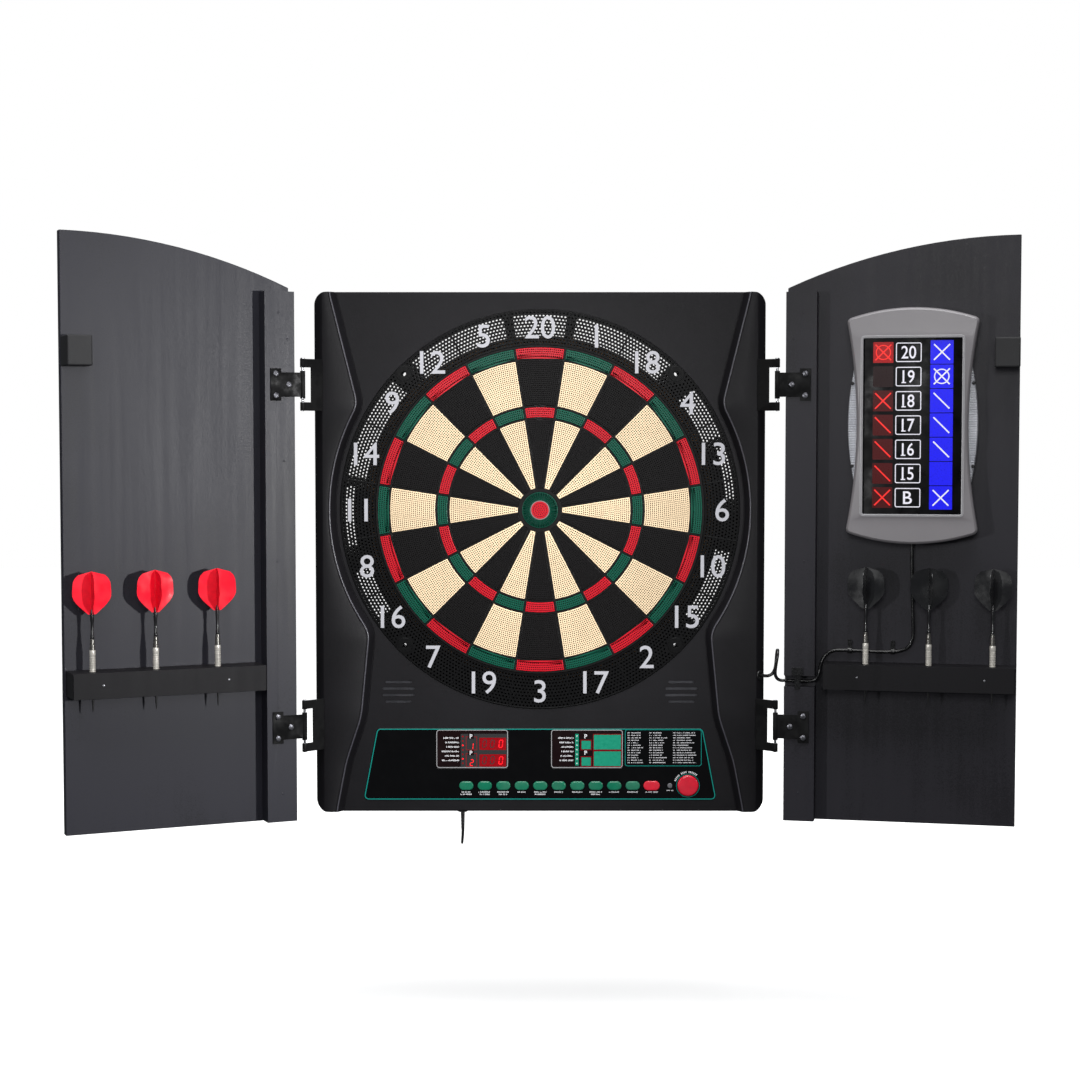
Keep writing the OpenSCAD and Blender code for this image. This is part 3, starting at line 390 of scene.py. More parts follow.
class Build:
    """Vertices in millimetres and faces with material numbers, gathered before they become one object."""

    def __init__(self):
        self.verts, self.faces, self.mats = [], [], []

    def add(self, verts, faces, mat=0):
        start = len(self.verts)
        self.verts += [tuple(v) for v in verts]
        self.faces += [tuple(i + start for i in f) for f in faces]
        self.mats += [mat] * len(faces)
        return self

    def front(self, loops, y, mat=0):
        """A flat face that fills the first loop around the others."""
        return self.add([(x, y, z) for loop in loops for x, z in loop], filled(loops), mat)

    def plate(self, outer, holes=(), profile=((0, 0), (0, -1)), mat=0, open_front=False):
        """A plate facing the front. profile is (inset, y) from back to front; the loops are anticlockwise."""
        loops = [list(outer)] + [list(reversed(h)) for h in holes]
        rows = [[offset(loop, d) for loop in loops] for d, _ in profile]
        count = sum(len(loop) for loop in loops)
        verts = [(p[0], y, p[1]) for row, (_, y) in zip(rows, profile) for loop in row for p in loop]
        faces = []
        for level in range(len(profile) - 1):
            base = level * count
            for loop in loops:
                n = len(loop)
                for k in range(n):
                    a, b = base + k, base + (k + 1) % n
                    faces.append((a, b, b + count, a + count))
                base += n
        last = (len(profile) - 1) * count
        if not open_front:
            faces += [tuple(last + i for i in t) for t in filled(rows[-1])]
        faces += [tuple(reversed(t)) for t in filled(rows[0])]
        return self.add(verts, faces, mat)

    def slab(self, outer, back, front, mat=0, holes=()):
        """A plate with square edges."""
        return self.plate(outer, holes, ((0, back), (0, front)), mat)

    def spun(self, profile, n=24, at=(0, 0, 0), axis="Z", mat=0):
        """A surface of revolution. profile is (radius, height); a radius of 0 closes an end."""
        verts, rings = [], []
        for r, h in profile:
            sides = n if r else 1
            rings.append(list(range(len(verts), len(verts) + sides)))
            verts += [(r * math.cos(TAU * k / n), r * math.sin(TAU * k / n), h) for k in range(sides)]
        faces = []
        for a, b in zip(rings, rings[1:]):
            for i in range(n):
                j = (i + 1) % n
                if len(a) == n and len(b) == n:
                    faces.append((a[i], a[j], b[j], b[i]))
                elif len(a) == n:
                    faces.append((a[i], a[j], b[0]))
                elif len(b) == n:
                    faces.append((a[0], b[j], b[i]))
        if axis == "Y":  # height runs to the front
            verts = [(x, -h, y) for x, y, h in verts]
        elif axis == "X":
            verts = [(h, x, y) for x, y, h in verts]
        return self.add([(x + at[0], y + at[1], z + at[2]) for x, y, z in verts], faces, mat)

    def block(self, low, high, r, mat=0, segments=2):
        """A box with rounded edges."""
        bm = bmesh.new()
        bmesh.ops.create_cube(bm, size=1)
        for v in bm.verts:
            v.co = [low[i] + (v.co[i] + 0.5) * (high[i] - low[i]) for i in range(3)]
        bmesh.ops.bevel(bm, geom=bm.edges[:], offset=r, segments=segments, profile=0.5, affect="EDGES")
        bm.verts.index_update()
        self.add([v.co[:] for v in bm.verts], [[v.index for v in f.verts] for f in bm.faces], mat)
        bm.free()
        return self

    def text(self, words, x, z, height, y_back, y_front, bold=0.0, width=1.0, mat=0):
        """Raised characters centred at x, z, with the built-in font."""
        curve = bpy.data.curves.new("text", "FONT")
        curve.body, curve.extrude, curve.offset, curve.resolution_u = words, 0.5, bold, 4
        temp = linked(bpy.data.objects.new("text", curve))
        bpy.context.view_layer.update()
        mesh = temp.evaluated_get(bpy.context.evaluated_depsgraph_get()).to_mesh()
        co = np.array([v.co for v in mesh.vertices], float)
        low, high = co.min(0), co.max(0)
        k = height / (high[1] - low[1])
        co = (co - (low + high) / 2) * (k * width, k, y_back - y_front)
        verts = [(x + p[0], (y_back + y_front) / 2 - p[2], z + p[1]) for p in co]
        self.add(verts, [tuple(f.vertices) for f in mesh.polygons], mat)
        temp.to_mesh_clear()
        bpy.data.objects.remove(temp)
        bpy.data.curves.remove(curve)
        return self

    def tube(self, points, r, n=10):
        """A round tube along points, closed at both ends."""
        side, verts = None, []
        for k, p in enumerate(points):
            t = (points[min(k + 1, len(points) - 1)] - points[max(k - 1, 0)]).normalized()
            if side is None:
                side = t.cross(Vector((1, 0, 0)) if abs(t.x) < 0.8 else Vector((0, 1, 0))).normalized()
            side = (side - side.dot(t) * t).normalized()
            other = t.cross(side)
            verts += [p + r * (math.cos(TAU * j / n) * side + math.sin(TAU * j / n) * other) for j in range(n)]
        return self.add(verts, tube_faces(len(points), n))

    def piece(self, name, materials, body, slot=None, replaces=(), matrix=None, sharp=35.0):
        """Turns what was gathered into an object that rides on a body, if one is named."""
        co = np.array(self.verts, float)
        faces = self.faces
        if matrix is not None:
            m = np.array(matrix)
            co = co @ m[:3, :3].T + m[:3, 3]
            if np.linalg.det(m[:3, :3]) < 0:
                faces = [f[::-1] for f in faces]
        mesh = bpy.data.meshes.new(name)
        mesh.from_pydata((co * MM).tolist(), [], faces)
        for m in materials:
            mesh.materials.append(MAT[m])
        mesh.polygons.foreach_set("material_index", self.mats)
        mesh.polygons.foreach_set("use_smooth", [True] * len(faces))
        mesh.update()
        mesh.set_sharp_from_angle(angle=math.radians(sharp))
        obj = linked(bpy.data.objects.new(name, mesh))
        if body:
            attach(obj, body)
        if replaces:
            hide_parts(*replaces)
        return obj


def welded(obj, dist, to_front=False):
    """Joins vertices that lie together; to_front also drops slivers and turns all faces alike, to the front."""
    bm = bmesh.new()
    bm.from_mesh(obj.data)
    bmesh.ops.remove_doubles(bm, verts=bm.verts[:], dist=dist)
    if to_front:
        bmesh.ops.dissolve_degenerate(bm, edges=bm.edges[:], dist=1e-6)
        bmesh.ops.recalc_face_normals(bm, faces=bm.faces[:])
        if sum(f.normal.y * f.calc_area() for f in bm.faces) > 0:
            bmesh.ops.reverse_faces(bm, faces=bm.faces[:])
    bm.to_mesh(obj.data)
    bm.free()


def applied(obj, modifier):
    """Bakes an object's one modifier into its mesh."""
    mesh = bpy.data.meshes.new_from_object(obj.evaluated_get(bpy.context.evaluated_depsgraph_get()))
    obj.modifiers.remove(modifier)
    old, obj.data = obj.data, mesh
    bpy.data.meshes.remove(old)
    mesh.name = obj.name


# ---- Cords: the routes are those of the CAD's cords ----

CORD_D, CABLE_D = 3.2, 4.0
COIL_AT, COIL_IN, COIL_TURNS = (-78.0, -13.0, -310.0), 14.2, 12
CORD_ROUTE = [
    (-94.7, -31.5, -366.5), (-94.7, -31.5, -380), (-94.8, -31.5, -390), (-95, -31.3, -397),
    (-95.3, -30.3, -402.5), (-95.6, -27.4, -407), (-95.9, -23, -410), (-96, -17.5, -411.2),
    (-96, -12, -410), (-95.8, -7.6, -407), (-95.5, -4.6, -402.5), (-95.2, -3.5, -397),
    (-94.8, -3.5, -380), (-94.7, -3.5, -362), (-94.9, -4, -350), (-95.7, -5.2, -338),
    (-97.6, -6.9, -326), (-99.6, -8, -317),
]
LEAD_ROUTE = [(-70, -17.6, -287.8), (-61, -16.2, -287.9), (-53, -14.2, -288), (-47, -13.1, -288), (-41, -13, -288),
              (-12, -13, -288)]
CABLE_ROUTE = [
    (160, -20.5, -35.5), (160, -20.5, -60), (161, -20.5, -110), (162, -20.5, -142),
    (161, -20.5, -154), (156, -20.5, -163), (148, -20.5, -167), (138, -20.5, -168.5),
    (122, -20.5, -169), (104, -20.5, -168.5), (87, -20.5, -168), (70, -20.5, -168.5),
    (62, -20.2, -171), (56, -19, -177), (53, -17, -184), (51.6, -14, -191), (50.5, -10.5, -197),
    (48, -8, -202), (43, -7, -204.5), (34, -7, -205), (22, -7, -205), (10, -7, -205),
]
LOOP_ROUTE = [
    (287.6, -60.4, -203.6), (284.9, -60.8, -200.2), (284, -61.4, -195.5), (284.6, -62, -188),
    (285.8, -62.3, -180), (286.8, -61.2, -174.2), (287.3, -58.2, -170.2), (287.6, -54, -168.8),
    (287.6, -49.8, -170.4), (287.4, -47, -174.5), (287, -46, -181), (286.3, -46.3, -188),
    (284.8, -47.3, -194), (281.6, -48.6, -198.6), (277.2, -48.2, -200.8), (273, -45.6, -201.2),
    (269.5, -42.4, -201), (266, -39, -201),
]


def smooth(points, steps=5):
    """A finer line through the same points."""
    p = [Vector(q) for q in points]
    p = [2 * p[0] - p[1], *p, 2 * p[-1] - p[-2]]
    out = []
    for k in range(1, len(p) - 2):
        a, b, c, d = p[k - 1:k + 3]
        for j in range(steps):
            t = j / steps
            out.append(0.5 * (2 * b + (c - a) * t + (2 * a - 5 * b + 4 * c - d) * t * t
                              + (3 * b - a - 3 * c + d) * t ** 3))
    return [*out, p[-2]]


def coil_points(per_turn=24):
    """Four flat spirals of three turns in front of each other, in, out, in and out, clockwise from left to top."""
    out = []
    layers = [0, 1, 2, 2, 1, 0, 0, 1, 2, 2, 1, 0, 0]
    for k in range(int((COIL_TURNS + 0.25) * per_turn) + 1):
        t = k / per_turn
        turn = min(int(t), COIL_TURNS)
        following = min(turn + 1, COIL_TURNS)
        ease = max(0.0, min(1.0, 2 * (t - turn) - 1))
        ease = ease * ease * (3 - 2 * ease)
        here, then = layers[turn], layers[following]
        disc, disc_then = min(turn // 3, 3), min((turn + 1) // 3, 3)
        r = COIL_IN + CORD_D * (2.5 - here - (then - here) * ease)
        y = COIL_AT[1] + CORD_D * (1.5 - disc - (disc_then - disc) * ease)
        a = math.pi - TAU * t
        out.append(Vector((COIL_AT[0] + r * math.cos(a), y, COIL_AT[2] + r * math.sin(a))))
    return out


def curve_cord(name, points, r, material, body, matrix=None):
    """A cord as one open spline."""
    curve = bpy.data.curves.new(name, "CURVE")
    curve.dimensions = "3D"
    curve.bevel_depth, curve.bevel_resolution, curve.use_fill_caps = r * MM, 3, True
    spline = curve.splines.new("POLY")
    spline.points.add(len(points) - 1)
    for q, p in zip(spline.points, points):
        q.co = (*((matrix @ Vector(p) if matrix else Vector(p)) * MM), 1)
    spline.use_smooth = True
    curve.materials.append(MAT[material])
    obj = linked(bpy.data.objects.new(name, curve))
    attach(obj, body)
    return obj


# Wall adapter: two half shells with a dark parting line, a ribbed collar for the lead, and two flat prongs
PRONG_Z, PRONG_APART = -288, 6.35
adapter = Build()
adapter.block((-34, -24, -308), (-5, -2, -268), 3.0, 0, 4)
adapter.block((-5.6, -23.6, -307.6), (-4.4, -2.4, -268.4), 2.6, 1, 3)
adapter.block((-5, -24, -308), (26, -2, -268), 3.0, 0, 4)
adapter.spun([(0, -42), (2.0, -42), (2.3, -41.6), (2.6, -39), (2.2, -38.6), (2.2, -38.2), (2.9, -37.8), (3.0, -36.4),
              (2.5, -36), (3.3, -35.4), (3.5, -33), (3.5, -32), (0, -32)], 20, (0, -13, PRONG_Z), "X")
for side in (-1, 1):
    prong_z = PRONG_Z + side * PRONG_APART
    adapter.block((25, -13.75, prong_z - 3.2), (40, -12.25, prong_z + 3.2), 0.5, 2)
adapter = adapter.piece("wall_adapter_body", ["adapter", "dark", "pin"], "housing", "adapter_black", ["wall_adapter"])

cord_line = [*smooth(CORD_ROUTE + [(-100.2, -8.2, -310)])[:-1], *coil_points(),
             *smooth([(-78, -17.8, -287.8), *LEAD_ROUTE])[1:]]
power_cord = curve_cord("power_cord_line", cord_line, CORD_D / 2, "cord", "housing")
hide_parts("power_cord", "power_cord_coil")

# The power cord's tapered relief, grooved all the way down, and the grommet where the loop enters the housing
grooves = [(2.62 - 0.024 * k - (0.22 if k % 4 in (2, 3) else 0), -k) for k in range(2, 24)]
relief = Build()
relief.spun([(0, 3), (4.4, 3), (4.4, 0), (5.6, 0), (6.0, -0.4), (5.8, -1.3), (5.2, -1.5), (3.4, -1.6), (2.9, -1.9)]
            + grooves + [(1.9, -23.8), (1.65, -24), (0, -24)], 28, (-94.7, -31.5, -368.5))
grommet = Build()
grommet.spun([(0, -4.4), (3.9, -4.4), (3.9, 0), (5.5, 0), (6.0, 0.4), (5.7, 1.1), (5.0, 1.2), (3.2, 1.0), (2.5, 0.4),
              (0, 0.3)], 28)
to_loop_exit = (Matrix.Translation((268, -41, -201)) @ Matrix.Rotation(math.radians(-45), 4, "Z")
                @ Matrix.Rotation(math.radians(90), 4, "Y"))
relief.add([to_loop_exit @ Vector(v) for v in grommet.verts], grommet.faces)
relief.piece("cord_glands_moulded", ["gland"], "housing", "gland_black", ["cord_glands"])

# The scorer's cable, clipped to the right door, and its slack loop past the hinge to the housing
# Points of the door's frame are given as (along, out of its inner side, up)
cable_line = [(u, -n, z) for u, n, z in smooth(CABLE_ROUTE)]
cable = curve_cord("scorer_cable_line", cable_line, CABLE_D / 2, "cable", "right_door", DOOR["right"])
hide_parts("scorer_cable")


def right_point(u, n, z):
    return DOOR["right"] @ Vector((u, -n, z))


loop_line = smooth([right_point(9.9, -7, -205), right_point(6, -7, -205), *LOOP_ROUTE])
loop = Build().tube(loop_line, CABLE_D / 2, 12)
loop = loop.piece("scorer_cable_slack", ["cable"], None, "cord_black", ["scorer_cable_loop"])
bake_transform(loop)

# ---- Housing ----

# The middle face's right edge from the foot up: two straight runs, an arc round the target, and the top corner
RECESS_R = 254.4
RECESS = [
    (247.7, -369.5), (235.5, -306.1), (217.3, -251.5),
    *[(RECESS_R * math.cos(math.radians(a)), RECESS_R * math.sin(math.radians(a)))
      for a in np.linspace(-35.5, 30.1, 60)],
    (254, 264.5),
]


def recess_x(z):
    """Half width of the middle face at a height."""
    for (xa, za), (xb, zb) in zip(RECESS, RECESS[1:]):
        if z <= zb:
            return xa + (xb - xa) * (z - za) / (zb - za)
    return RECESS[-1][0]


def eased_x(z):
    """The same outline with its corners rounded off."""
    return sum(recess_x(max(-369, min(264, z + d))) for d in (-9, -6, -3, 0, 3, 6, 9)) / 7


# Heights of the skin's rows: close together near the ends, where the edges turn
end_steps = [0, 0.35, 0.8, 1.4, 2.5, 4, 6, 8.5, 11, 13.5, 16]
levels = sorted({BOTTOM + d for d in end_steps} | {TOP - d for d in end_steps}
                | set(np.linspace(-345, 240, 118).round(2)))
EDGE_R, CORNER_R = 1.4, 16.0
# Stations across the recess's edge: distance outward from the outline, and the plane
STATIONS = [(-7.4, FACE_Y), (-6.9, -37.2), (-6.2, -37.2), (-5.7, FACE_Y), (-0.5, -45.2), (0.2, -45.9), (1.0, WING_Y),
            (2.0, WING_Y), (2.4, -45.7), (2.8, WING_Y)]
PAINTED_HIGHLIGHT_BANDS = (4, 5)  # the bands between stations at the top of the recess's bevel, given a paler, glossier finish: a painted highlight along the edge, partly real gloss
BEVEL_X, SIDE_Y = 262.2, -35.4  # where the wing's long bevel starts, and where it ends in the side


def side_grid():
    """Rows of points up the right side of the housing's skin, each from the middle face out to the rear edge."""
    rows = []
    for z in levels:
        z0, z1 = max(BOTTOM, z - 2), min(TOP, z + 2)
        slope = (eased_x(z1) - eased_x(z0)) / (z1 - z0)
        norm = math.hypot(1, slope)
        ease = min(1, (TOP - z) / 12, (z - BOTTOM) / 12)
        nx, nz = 1 / norm * ease + (1 - ease) * norm, -slope / norm * ease
        near = min(TOP - z, z - BOTTOM)
        limit = HALF_W - (CORNER_R - math.sqrt(max(0, CORNER_R ** 2 - max(0, CORNER_R - near) ** 2)))
        drop = EDGE_R - math.sqrt(EDGE_R ** 2 - max(0, EDGE_R - near) ** 2)
        row = [(eased_x(z) + d * nx, y + drop, z + d * nz) for d, y in STATIONS]
        for x, y in ((BEVEL_X, WING_Y), (263.4, -45.6), (272.5, -36.5), (HALF_W, SIDE_Y)):
            if x > limit:  # the round corner cuts this station off
                y = min(SIDE_Y, WING_Y + max(0, limit - 263)) if x > 264 else WING_Y
            row.append((min(x, limit), y + drop, z))
        rows.append([*row, (limit, COVER_Y, z)])
    return rows


right = side_grid()
left = [[(-x, y, z) for x, y, z in row] for row in right]
shell = Build()
width = len(right[0])
for rows, flip in ((right, False), (left, True)):
    faces = grid_faces(len(rows), width)
    shell.add([p for row in rows for p in row], [f[::-1] if flip else f for f in faces])
    # Faces in the highlight bands take the second material, the paler copy: a painted highlight along the recess's
    # edge.
    shell.mats[-len(faces):] = [int(i % (width - 1) in PAINTED_HIGHLIGHT_BANDS) for i in range(len(faces))]

DISPLAY_X, DISPLAY_Z, DISPLAY_W, DISPLAY_H = (-126.9, 13.2), -315.5, 88.2, 47.6
BUTTON_Z, BUTTON_X = -336.9, [-90.1 + 22.6 * k for k in range(10)]
POWER_X, RESET_X, START_X = 136.4, 158.8, 180.8
RESET_R, START_R = 3.0, 12.85
SPEAKER_X, SPEAKER_Z, SPEAKER_R, LOUVRE_STEP = 172.5, -221.7, 20.0, 8.0


def game_cap(x, grow):
    return oval(17.4 + 2 * grow, 10.5 + 2 * grow, x, BUTTON_Z)


def power_cap(grow):
    return oval(19.8 + 2 * grow, 11.3 + 2 * grow, POWER_X, BUTTON_Z)


def control_holes(grow=0.35):
    """The openings of the control panel: two displays and thirteen buttons."""
    display_z = (DISPLAY_Z - 0.3, DISPLAY_Z + DISPLAY_H + 0.3)
    return [*[rounded(x - 0.3, x + DISPLAY_W + 0.3, *display_z, 2.5) for x in DISPLAY_X],
            *[game_cap(x, grow) for x in BUTTON_X], power_cap(grow),
            circle(RESET_R + grow, 24, RESET_X, BUTTON_Z), circle(START_R + grow, 48, START_X, BUTTON_Z)]


louvres = []
for side in (-1, 1):
    for k in (-1.5, -0.5, 0.5, 1.5):
        half = math.sqrt(SPEAKER_R ** 2 - (LOUVRE_STEP * k) ** 2)
        louvres.append(oval(2 * half, 3.2, side * SPEAKER_X, SPEAKER_Z + LOUVRE_STEP * k))

# The middle face, with the target's opening, the louvres and the control panel's openings
face_edge = [row[0] for row in right + left[::-1]]
openings = [circle(243, 160), *louvres, *control_holes()]
shell.add(face_edge + [(x, FACE_Y, z) for loop in openings for x, z in loop],
          filled([[(x, z) for x, _, z in face_edge], *openings]))

# The closed top and foot of the skin
for k in (-1, 0):
    across = left[k][::-1] + right[k]
    faces = grid_faces(2, len(across))
    shell.add(across + [(x, COVER_Y, z) for x, y, z in across], faces if k else [f[::-1] for f in faces])

bezel = shell.piece("front_bezel_skin", ["housing", "housing_edge"], "housing", "housing_black", ["front_bezel"])
welded(bezel, 2e-6, to_front=True)
thick = bezel.modifiers.new("wall", "SOLIDIFY")
thick.thickness, thick.offset, thick.use_even_offset = 2.4 * MM, -1, False
applied(bezel, thick)
bezel.data.polygons.foreach_set("use_smooth", [True] * len(bezel.data.polygons))
bezel.data.set_sharp_from_angle(angle=math.radians(38))

# ---- Number ring: a moulded lattice, seen through where the back cover has its windows ----

RING_IN, RING_REAR = 199.8, -32.4
ROWS, COLUMNS, R0, PITCH = 10, 336, 201.4, 3.98
RIM_OUT = R0 + ROWS * PITCH
SCREW_AT, SCREW_CLEAR, BOSS_CLEAR = 165.0, 6.0, 11.5  # wall screws: place, radius left open, radius left solid
HOLE_WIDE, HOLE_SIDE, HOLE_PEAK = 1.1, 0.68, 1.12
LATTICE_FACES = [face for k, j in ((k, (k + 1) % 6) for k in range(6))
                 for face in ((j, k, 6 + k, 6 + j), (12 + k, 12 + j, 18 + j, 18 + k), (6 + j, 6 + k, 18 + k, 18 + j))]


def lattice_cell(row, column):
    """Six corners and six hole corners of one cell, as radius and angle."""
    step = TAU / COLUMNS
    a = (column + 0.5 * (row % 2)) * step
    r_in, r_out = R0 + row * PITCH, R0 + (row + 1) * PITCH
    mid, half = (r_in + r_out) / 2, step / 2
    corners = [(r_in, a - half), (r_in, a), (r_in, a + half), (r_out, a + half), (r_out, a), (r_out, a - half)]
    w = HOLE_WIDE / mid
    return corners, [(mid - HOLE_SIDE, a - w), (mid - HOLE_PEAK, a), (mid - HOLE_SIDE, a + w),
                     (mid + HOLE_SIDE, a + w), (mid + HOLE_PEAK, a), (mid + HOLE_SIDE, a - w)]


lattice = Build()
for row in range(ROWS):
    for column in range(COLUMNS):
        corners, hole = lattice_cell(row, column)
        mid_r, mid_a = sum(r for r, _ in corners) / 6, corners[1][1]
        boss = math.hypot(abs(mid_r * math.cos(mid_a)) - SCREW_AT, abs(mid_r * math.sin(mid_a)) - SCREW_AT)
        if boss < SCREW_CLEAR:
            continue
        solid = boss < BOSS_CLEAR
        verts = [(r * math.cos(a), y, r * math.sin(a)) for y in (RING_Y, RING_REAR)
                 for r, a in (corners if solid else corners + hole)]
        lattice.add(verts, [(5, 4, 3, 2, 1, 0), (6, 7, 8, 9, 10, 11)] if solid else LATTICE_FACES)
welded(lattice.piece("catch_ring_lattice", ["ring"], "housing", "ring_black", ["catch_ring"], sharp=30), 4e-6)

rims = Build()
rims.spun([(RIM_OUT - 0.3, 32.4), (RIM_OUT - 0.3, 38.9), (RIM_OUT, 39.2), (242.1, 39.2), (242.4, 38.9), (242.4, 35.0),
           (248.4, 35.0), (248.4, 32.4), (RIM_OUT - 0.3, 32.4)], 240, axis="Y")
rims.spun([(RING_IN, 32.4), (RING_IN, 39.0), (200.1, 39.4), (201.4, 39.4), (201.7, 39.0), (201.7, 32.4),
           (RING_IN, 32.4)], 240, axis="Y")
for x in (-SCREW_AT, SCREW_AT):
    for z in (-SCREW_AT, SCREW_AT):
        rims.spun([(2.75, 32.6), (2.75, 38.9), (3.2, 39.3), (9.2, 39.3), (9.8, 38.8), (9.8, 32.6), (2.75, 32.6)], 36,
                  (x, 0, z), "Y")
for degrees in range(9, 360, 18):
    if degrees % 90 != 45:  # the screw bosses stand at 45 degrees
        rims.plate(turned_loop(box(201.2, 241.6, -0.9, 0.9), math.radians(degrees)),
                   profile=((0, -32.6), (0, -39.0), (0.25, -39.25)))
rims.piece("catch_ring_rims", ["ring"], "housing", "ring_black")

NUMBERS = [20, 1, 18, 4, 13, 6, 10, 15, 2, 17, 3, 19, 7, 16, 8, 11, 14, 9, 12, 5]
NUMBER_R, NUMBER_H = 221, 27.5
digits = Build()
for k, number in enumerate(NUMBERS):
    a = math.radians(90 - 18 * k)
    digits.text(str(number), NUMBER_R * math.cos(a), NUMBER_R * math.sin(a), NUMBER_H, -38.9, -39.9, bold=0.004)
digits.piece("catch_ring_numbers", ["numbers"], "housing", "ring_black")

# ---- Segments: polished caps full of small blind holes for the darts ----

HOLE, DEEP = 0.7, 2.8  # half the width of a hole, and its depth
GAP = 1.5  # half the gap between neighbours
HALF_SECTOR = math.radians(9)


def arc(r, a, b, n):
    """Points at a radius, between two angles clockwise from the top."""
    return [(r * math.sin(t), r * math.cos(t)) for t in np.linspace(a, b, n)]


def wedge(r_in, r_out, pitch, margin=0.75):
    """A segment at the top of the target: its outline and the centres of its holes, as (x, z, angle)."""
    def half(r, gap=GAP):
        return HALF_SECTOR - math.asin(gap / r)

    outline = arc(r_in, -half(r_in), half(r_in), max(2, int(r_in / 6)))
    outline += arc(r_out, half(r_out), -half(r_out), max(4, int(r_out / 7)))
    rows = max(1, int((r_out - r_in - 2 * margin) / pitch))
    step = (r_out - r_in - 2 * margin) / rows
    holes = []
    for k in range(rows):
        r = r_in + margin + step * (k + 0.5)
        wide = 2 * r * half(r, GAP + margin)
        count = int(wide / pitch)
        for j in range(count):
            t = ((j + 0.5) / count - 0.5) * wide / r
            holes.append((r * math.sin(t), r * math.cos(t), -t))
    return outline, holes


def pitted(build, outline, holes, turns, front=SEGMENT_Y, rear=SEGMENT_REAR):
    """Copies of a plate with blind holes, turned about the middle of the target."""
    one = Build().plate(outline, [], ((0, rear), (0, front + 0.5), (0.15, front + 0.15), (0.5, front)), open_front=True)
    edge = offset(outline, 0.5)
    squares = []
    for x, z, t in holes:
        c, s = math.cos(t), math.sin(t)
        squares.append([(x + HOLE * (c * a - s * b), z + HOLE * (s * a + c * b))
                        for a, b in ((-1, 1), (1, 1), (1, -1), (-1, -1))])
    at = len(one.verts) + len(edge)
    one.front([edge, *squares], front)
    for x, z, _ in holes:
        # The pit walls take the second material, the darker copy: painted shade in the holes.
        apex = len(one.verts)
        one.verts.append((x, front + DEEP, z))
        one.faces += [(at + k, at + (k + 1) % 4, apex) for k in range(4)]
        one.mats += [1] * 4
        at += 4
    verts = np.array(one.verts)
    for turn in turns:
        c, s = math.cos(-turn), math.sin(-turn)
        spun = np.column_stack((c * verts[:, 0] - s * verts[:, 2], verts[:, 1], s * verts[:, 0] + c * verts[:, 2]))
        start = len(build.verts)
        build.verts += spun.tolist()
        build.faces += [tuple(i + start for i in f) for f in one.faces]
        build.mats += one.mats


def sectors(first, step=2):
    return [math.radians(18 * k) for k in range(first, 20, step)]


caps = {colour: Build() for colour in ("red", "green", "cream", "black")}
for first, second, pitch, bands in (("red", "green", 2.3, ((112.6, 124.3), (184.5, 196.5))),
                                    ("black", "cream", 2.35, ((27.0, 109.6), (127.3, 181.5)))):
    for r_in, r_out in bands:
        shape = wedge(r_in, r_out, pitch)
        pitted(caps[first], *shape, sectors(0))
        pitted(caps[second], *shape, sectors(1))

# Outer bull: four rows of holes round the grey ring
outer_holes = [(r * math.sin(t), r * math.cos(t), -t) for r, count in ((13.4, 2), (15.9, 3), (18.1, 3), (20.2, 3))
               for t in np.linspace(-HALF_SECTOR, HALF_SECTOR, 2 * count + 1)[1::2]]
outer = arc(11.75, -HALF_SECTOR, HALF_SECTOR, 4) + arc(21.6, HALF_SECTOR, -HALF_SECTOR, 4)
pitted(caps["green"], outer, outer_holes, sectors(0, 1))
for colour, build in caps.items():
    build.piece(f"segments_{colour}_caps", [colour, colour + "_pit"], "housing", "segment_" + colour,
                ["segments_" + colour])

ring = Build()
ring.spun([(10.72, 39.5), (10.72, 41.0), (10.9, 41.3), (11.3, 41.3), (11.46, 41.0), (11.46, 39.5), (10.72, 39.5)], 64,
          axis="Y")
ring.piece("bull_ring", ["bull_ring"], "housing", "spider_black")

bull = Build()
bull_holes = [(0, 0, 0)] + [(r * math.cos(TAU * k / n), r * math.sin(TAU * k / n), TAU * k / n)
                            for r, n in ((2.7, 6), (5.3, 13), (8.0, 20)) for k in range(n)]
pitted(bull, circle(10.4, 48), bull_holes, [0], -41.2, -34.2)
# The holes' walls take the darker red: painted shade in the holes.
bull.piece("bullseye_cap", ["red", "red_pit"], "bullseye", "segment_red", ["bullseye"])

# ---- Control panel ----

PANEL_Z0, PANEL_Z1, PANEL_W0, PANEL_W1 = -354.5, -266.5, 216.0, 199.0


def trapezoid(grow=0.0, r=5.0):
    """The panel's outline with round corners."""
    corners = [(-PANEL_W0, PANEL_Z0), (PANEL_W0, PANEL_Z0), (PANEL_W1, PANEL_Z1), (-PANEL_W1, PANEL_Z1)]
    out = []
    for i, (cx, cz) in enumerate(offset(corners, r - grow)):
        p, q, n = corners[i - 1], corners[i], corners[(i + 1) % 4]
        a0 = math.atan2(-(q[0] - p[0]), q[1] - p[1])
        a1 = math.atan2(-(n[0] - q[0]), n[1] - q[1])
        while a1 < a0:
            a1 += TAU
        turns = [a0 + (a1 - a0) * k / 6 for k in range(7)]
        out += [(cx + r * math.cos(a), cz + r * math.sin(a)) for a in turns]
    return out


overlay = Build()
overlay.plate(trapezoid(), control_holes(), ((0, -38.02), (0, -38.5), (0.12, OVERLAY_Y)))
overlay.piece("control_overlay_sheet", ["overlay"], "housing", "overlay_gloss", ["control_overlay"])

INK = (OVERLAY_Y + 0.02, OVERLAY_Y - 0.07)  # back and front of the print on the panel
TEAL, WHITE_INK = 0, 1


def frame_line(build, outer, w, mat, layer=INK):
    build.slab(outer, *layer, mat, [offset(outer, w)])


def bar(build, x0, x1, z, h, mat, layer=INK):
    build.slab(box(x0, x1, z, z + h), *layer, mat)


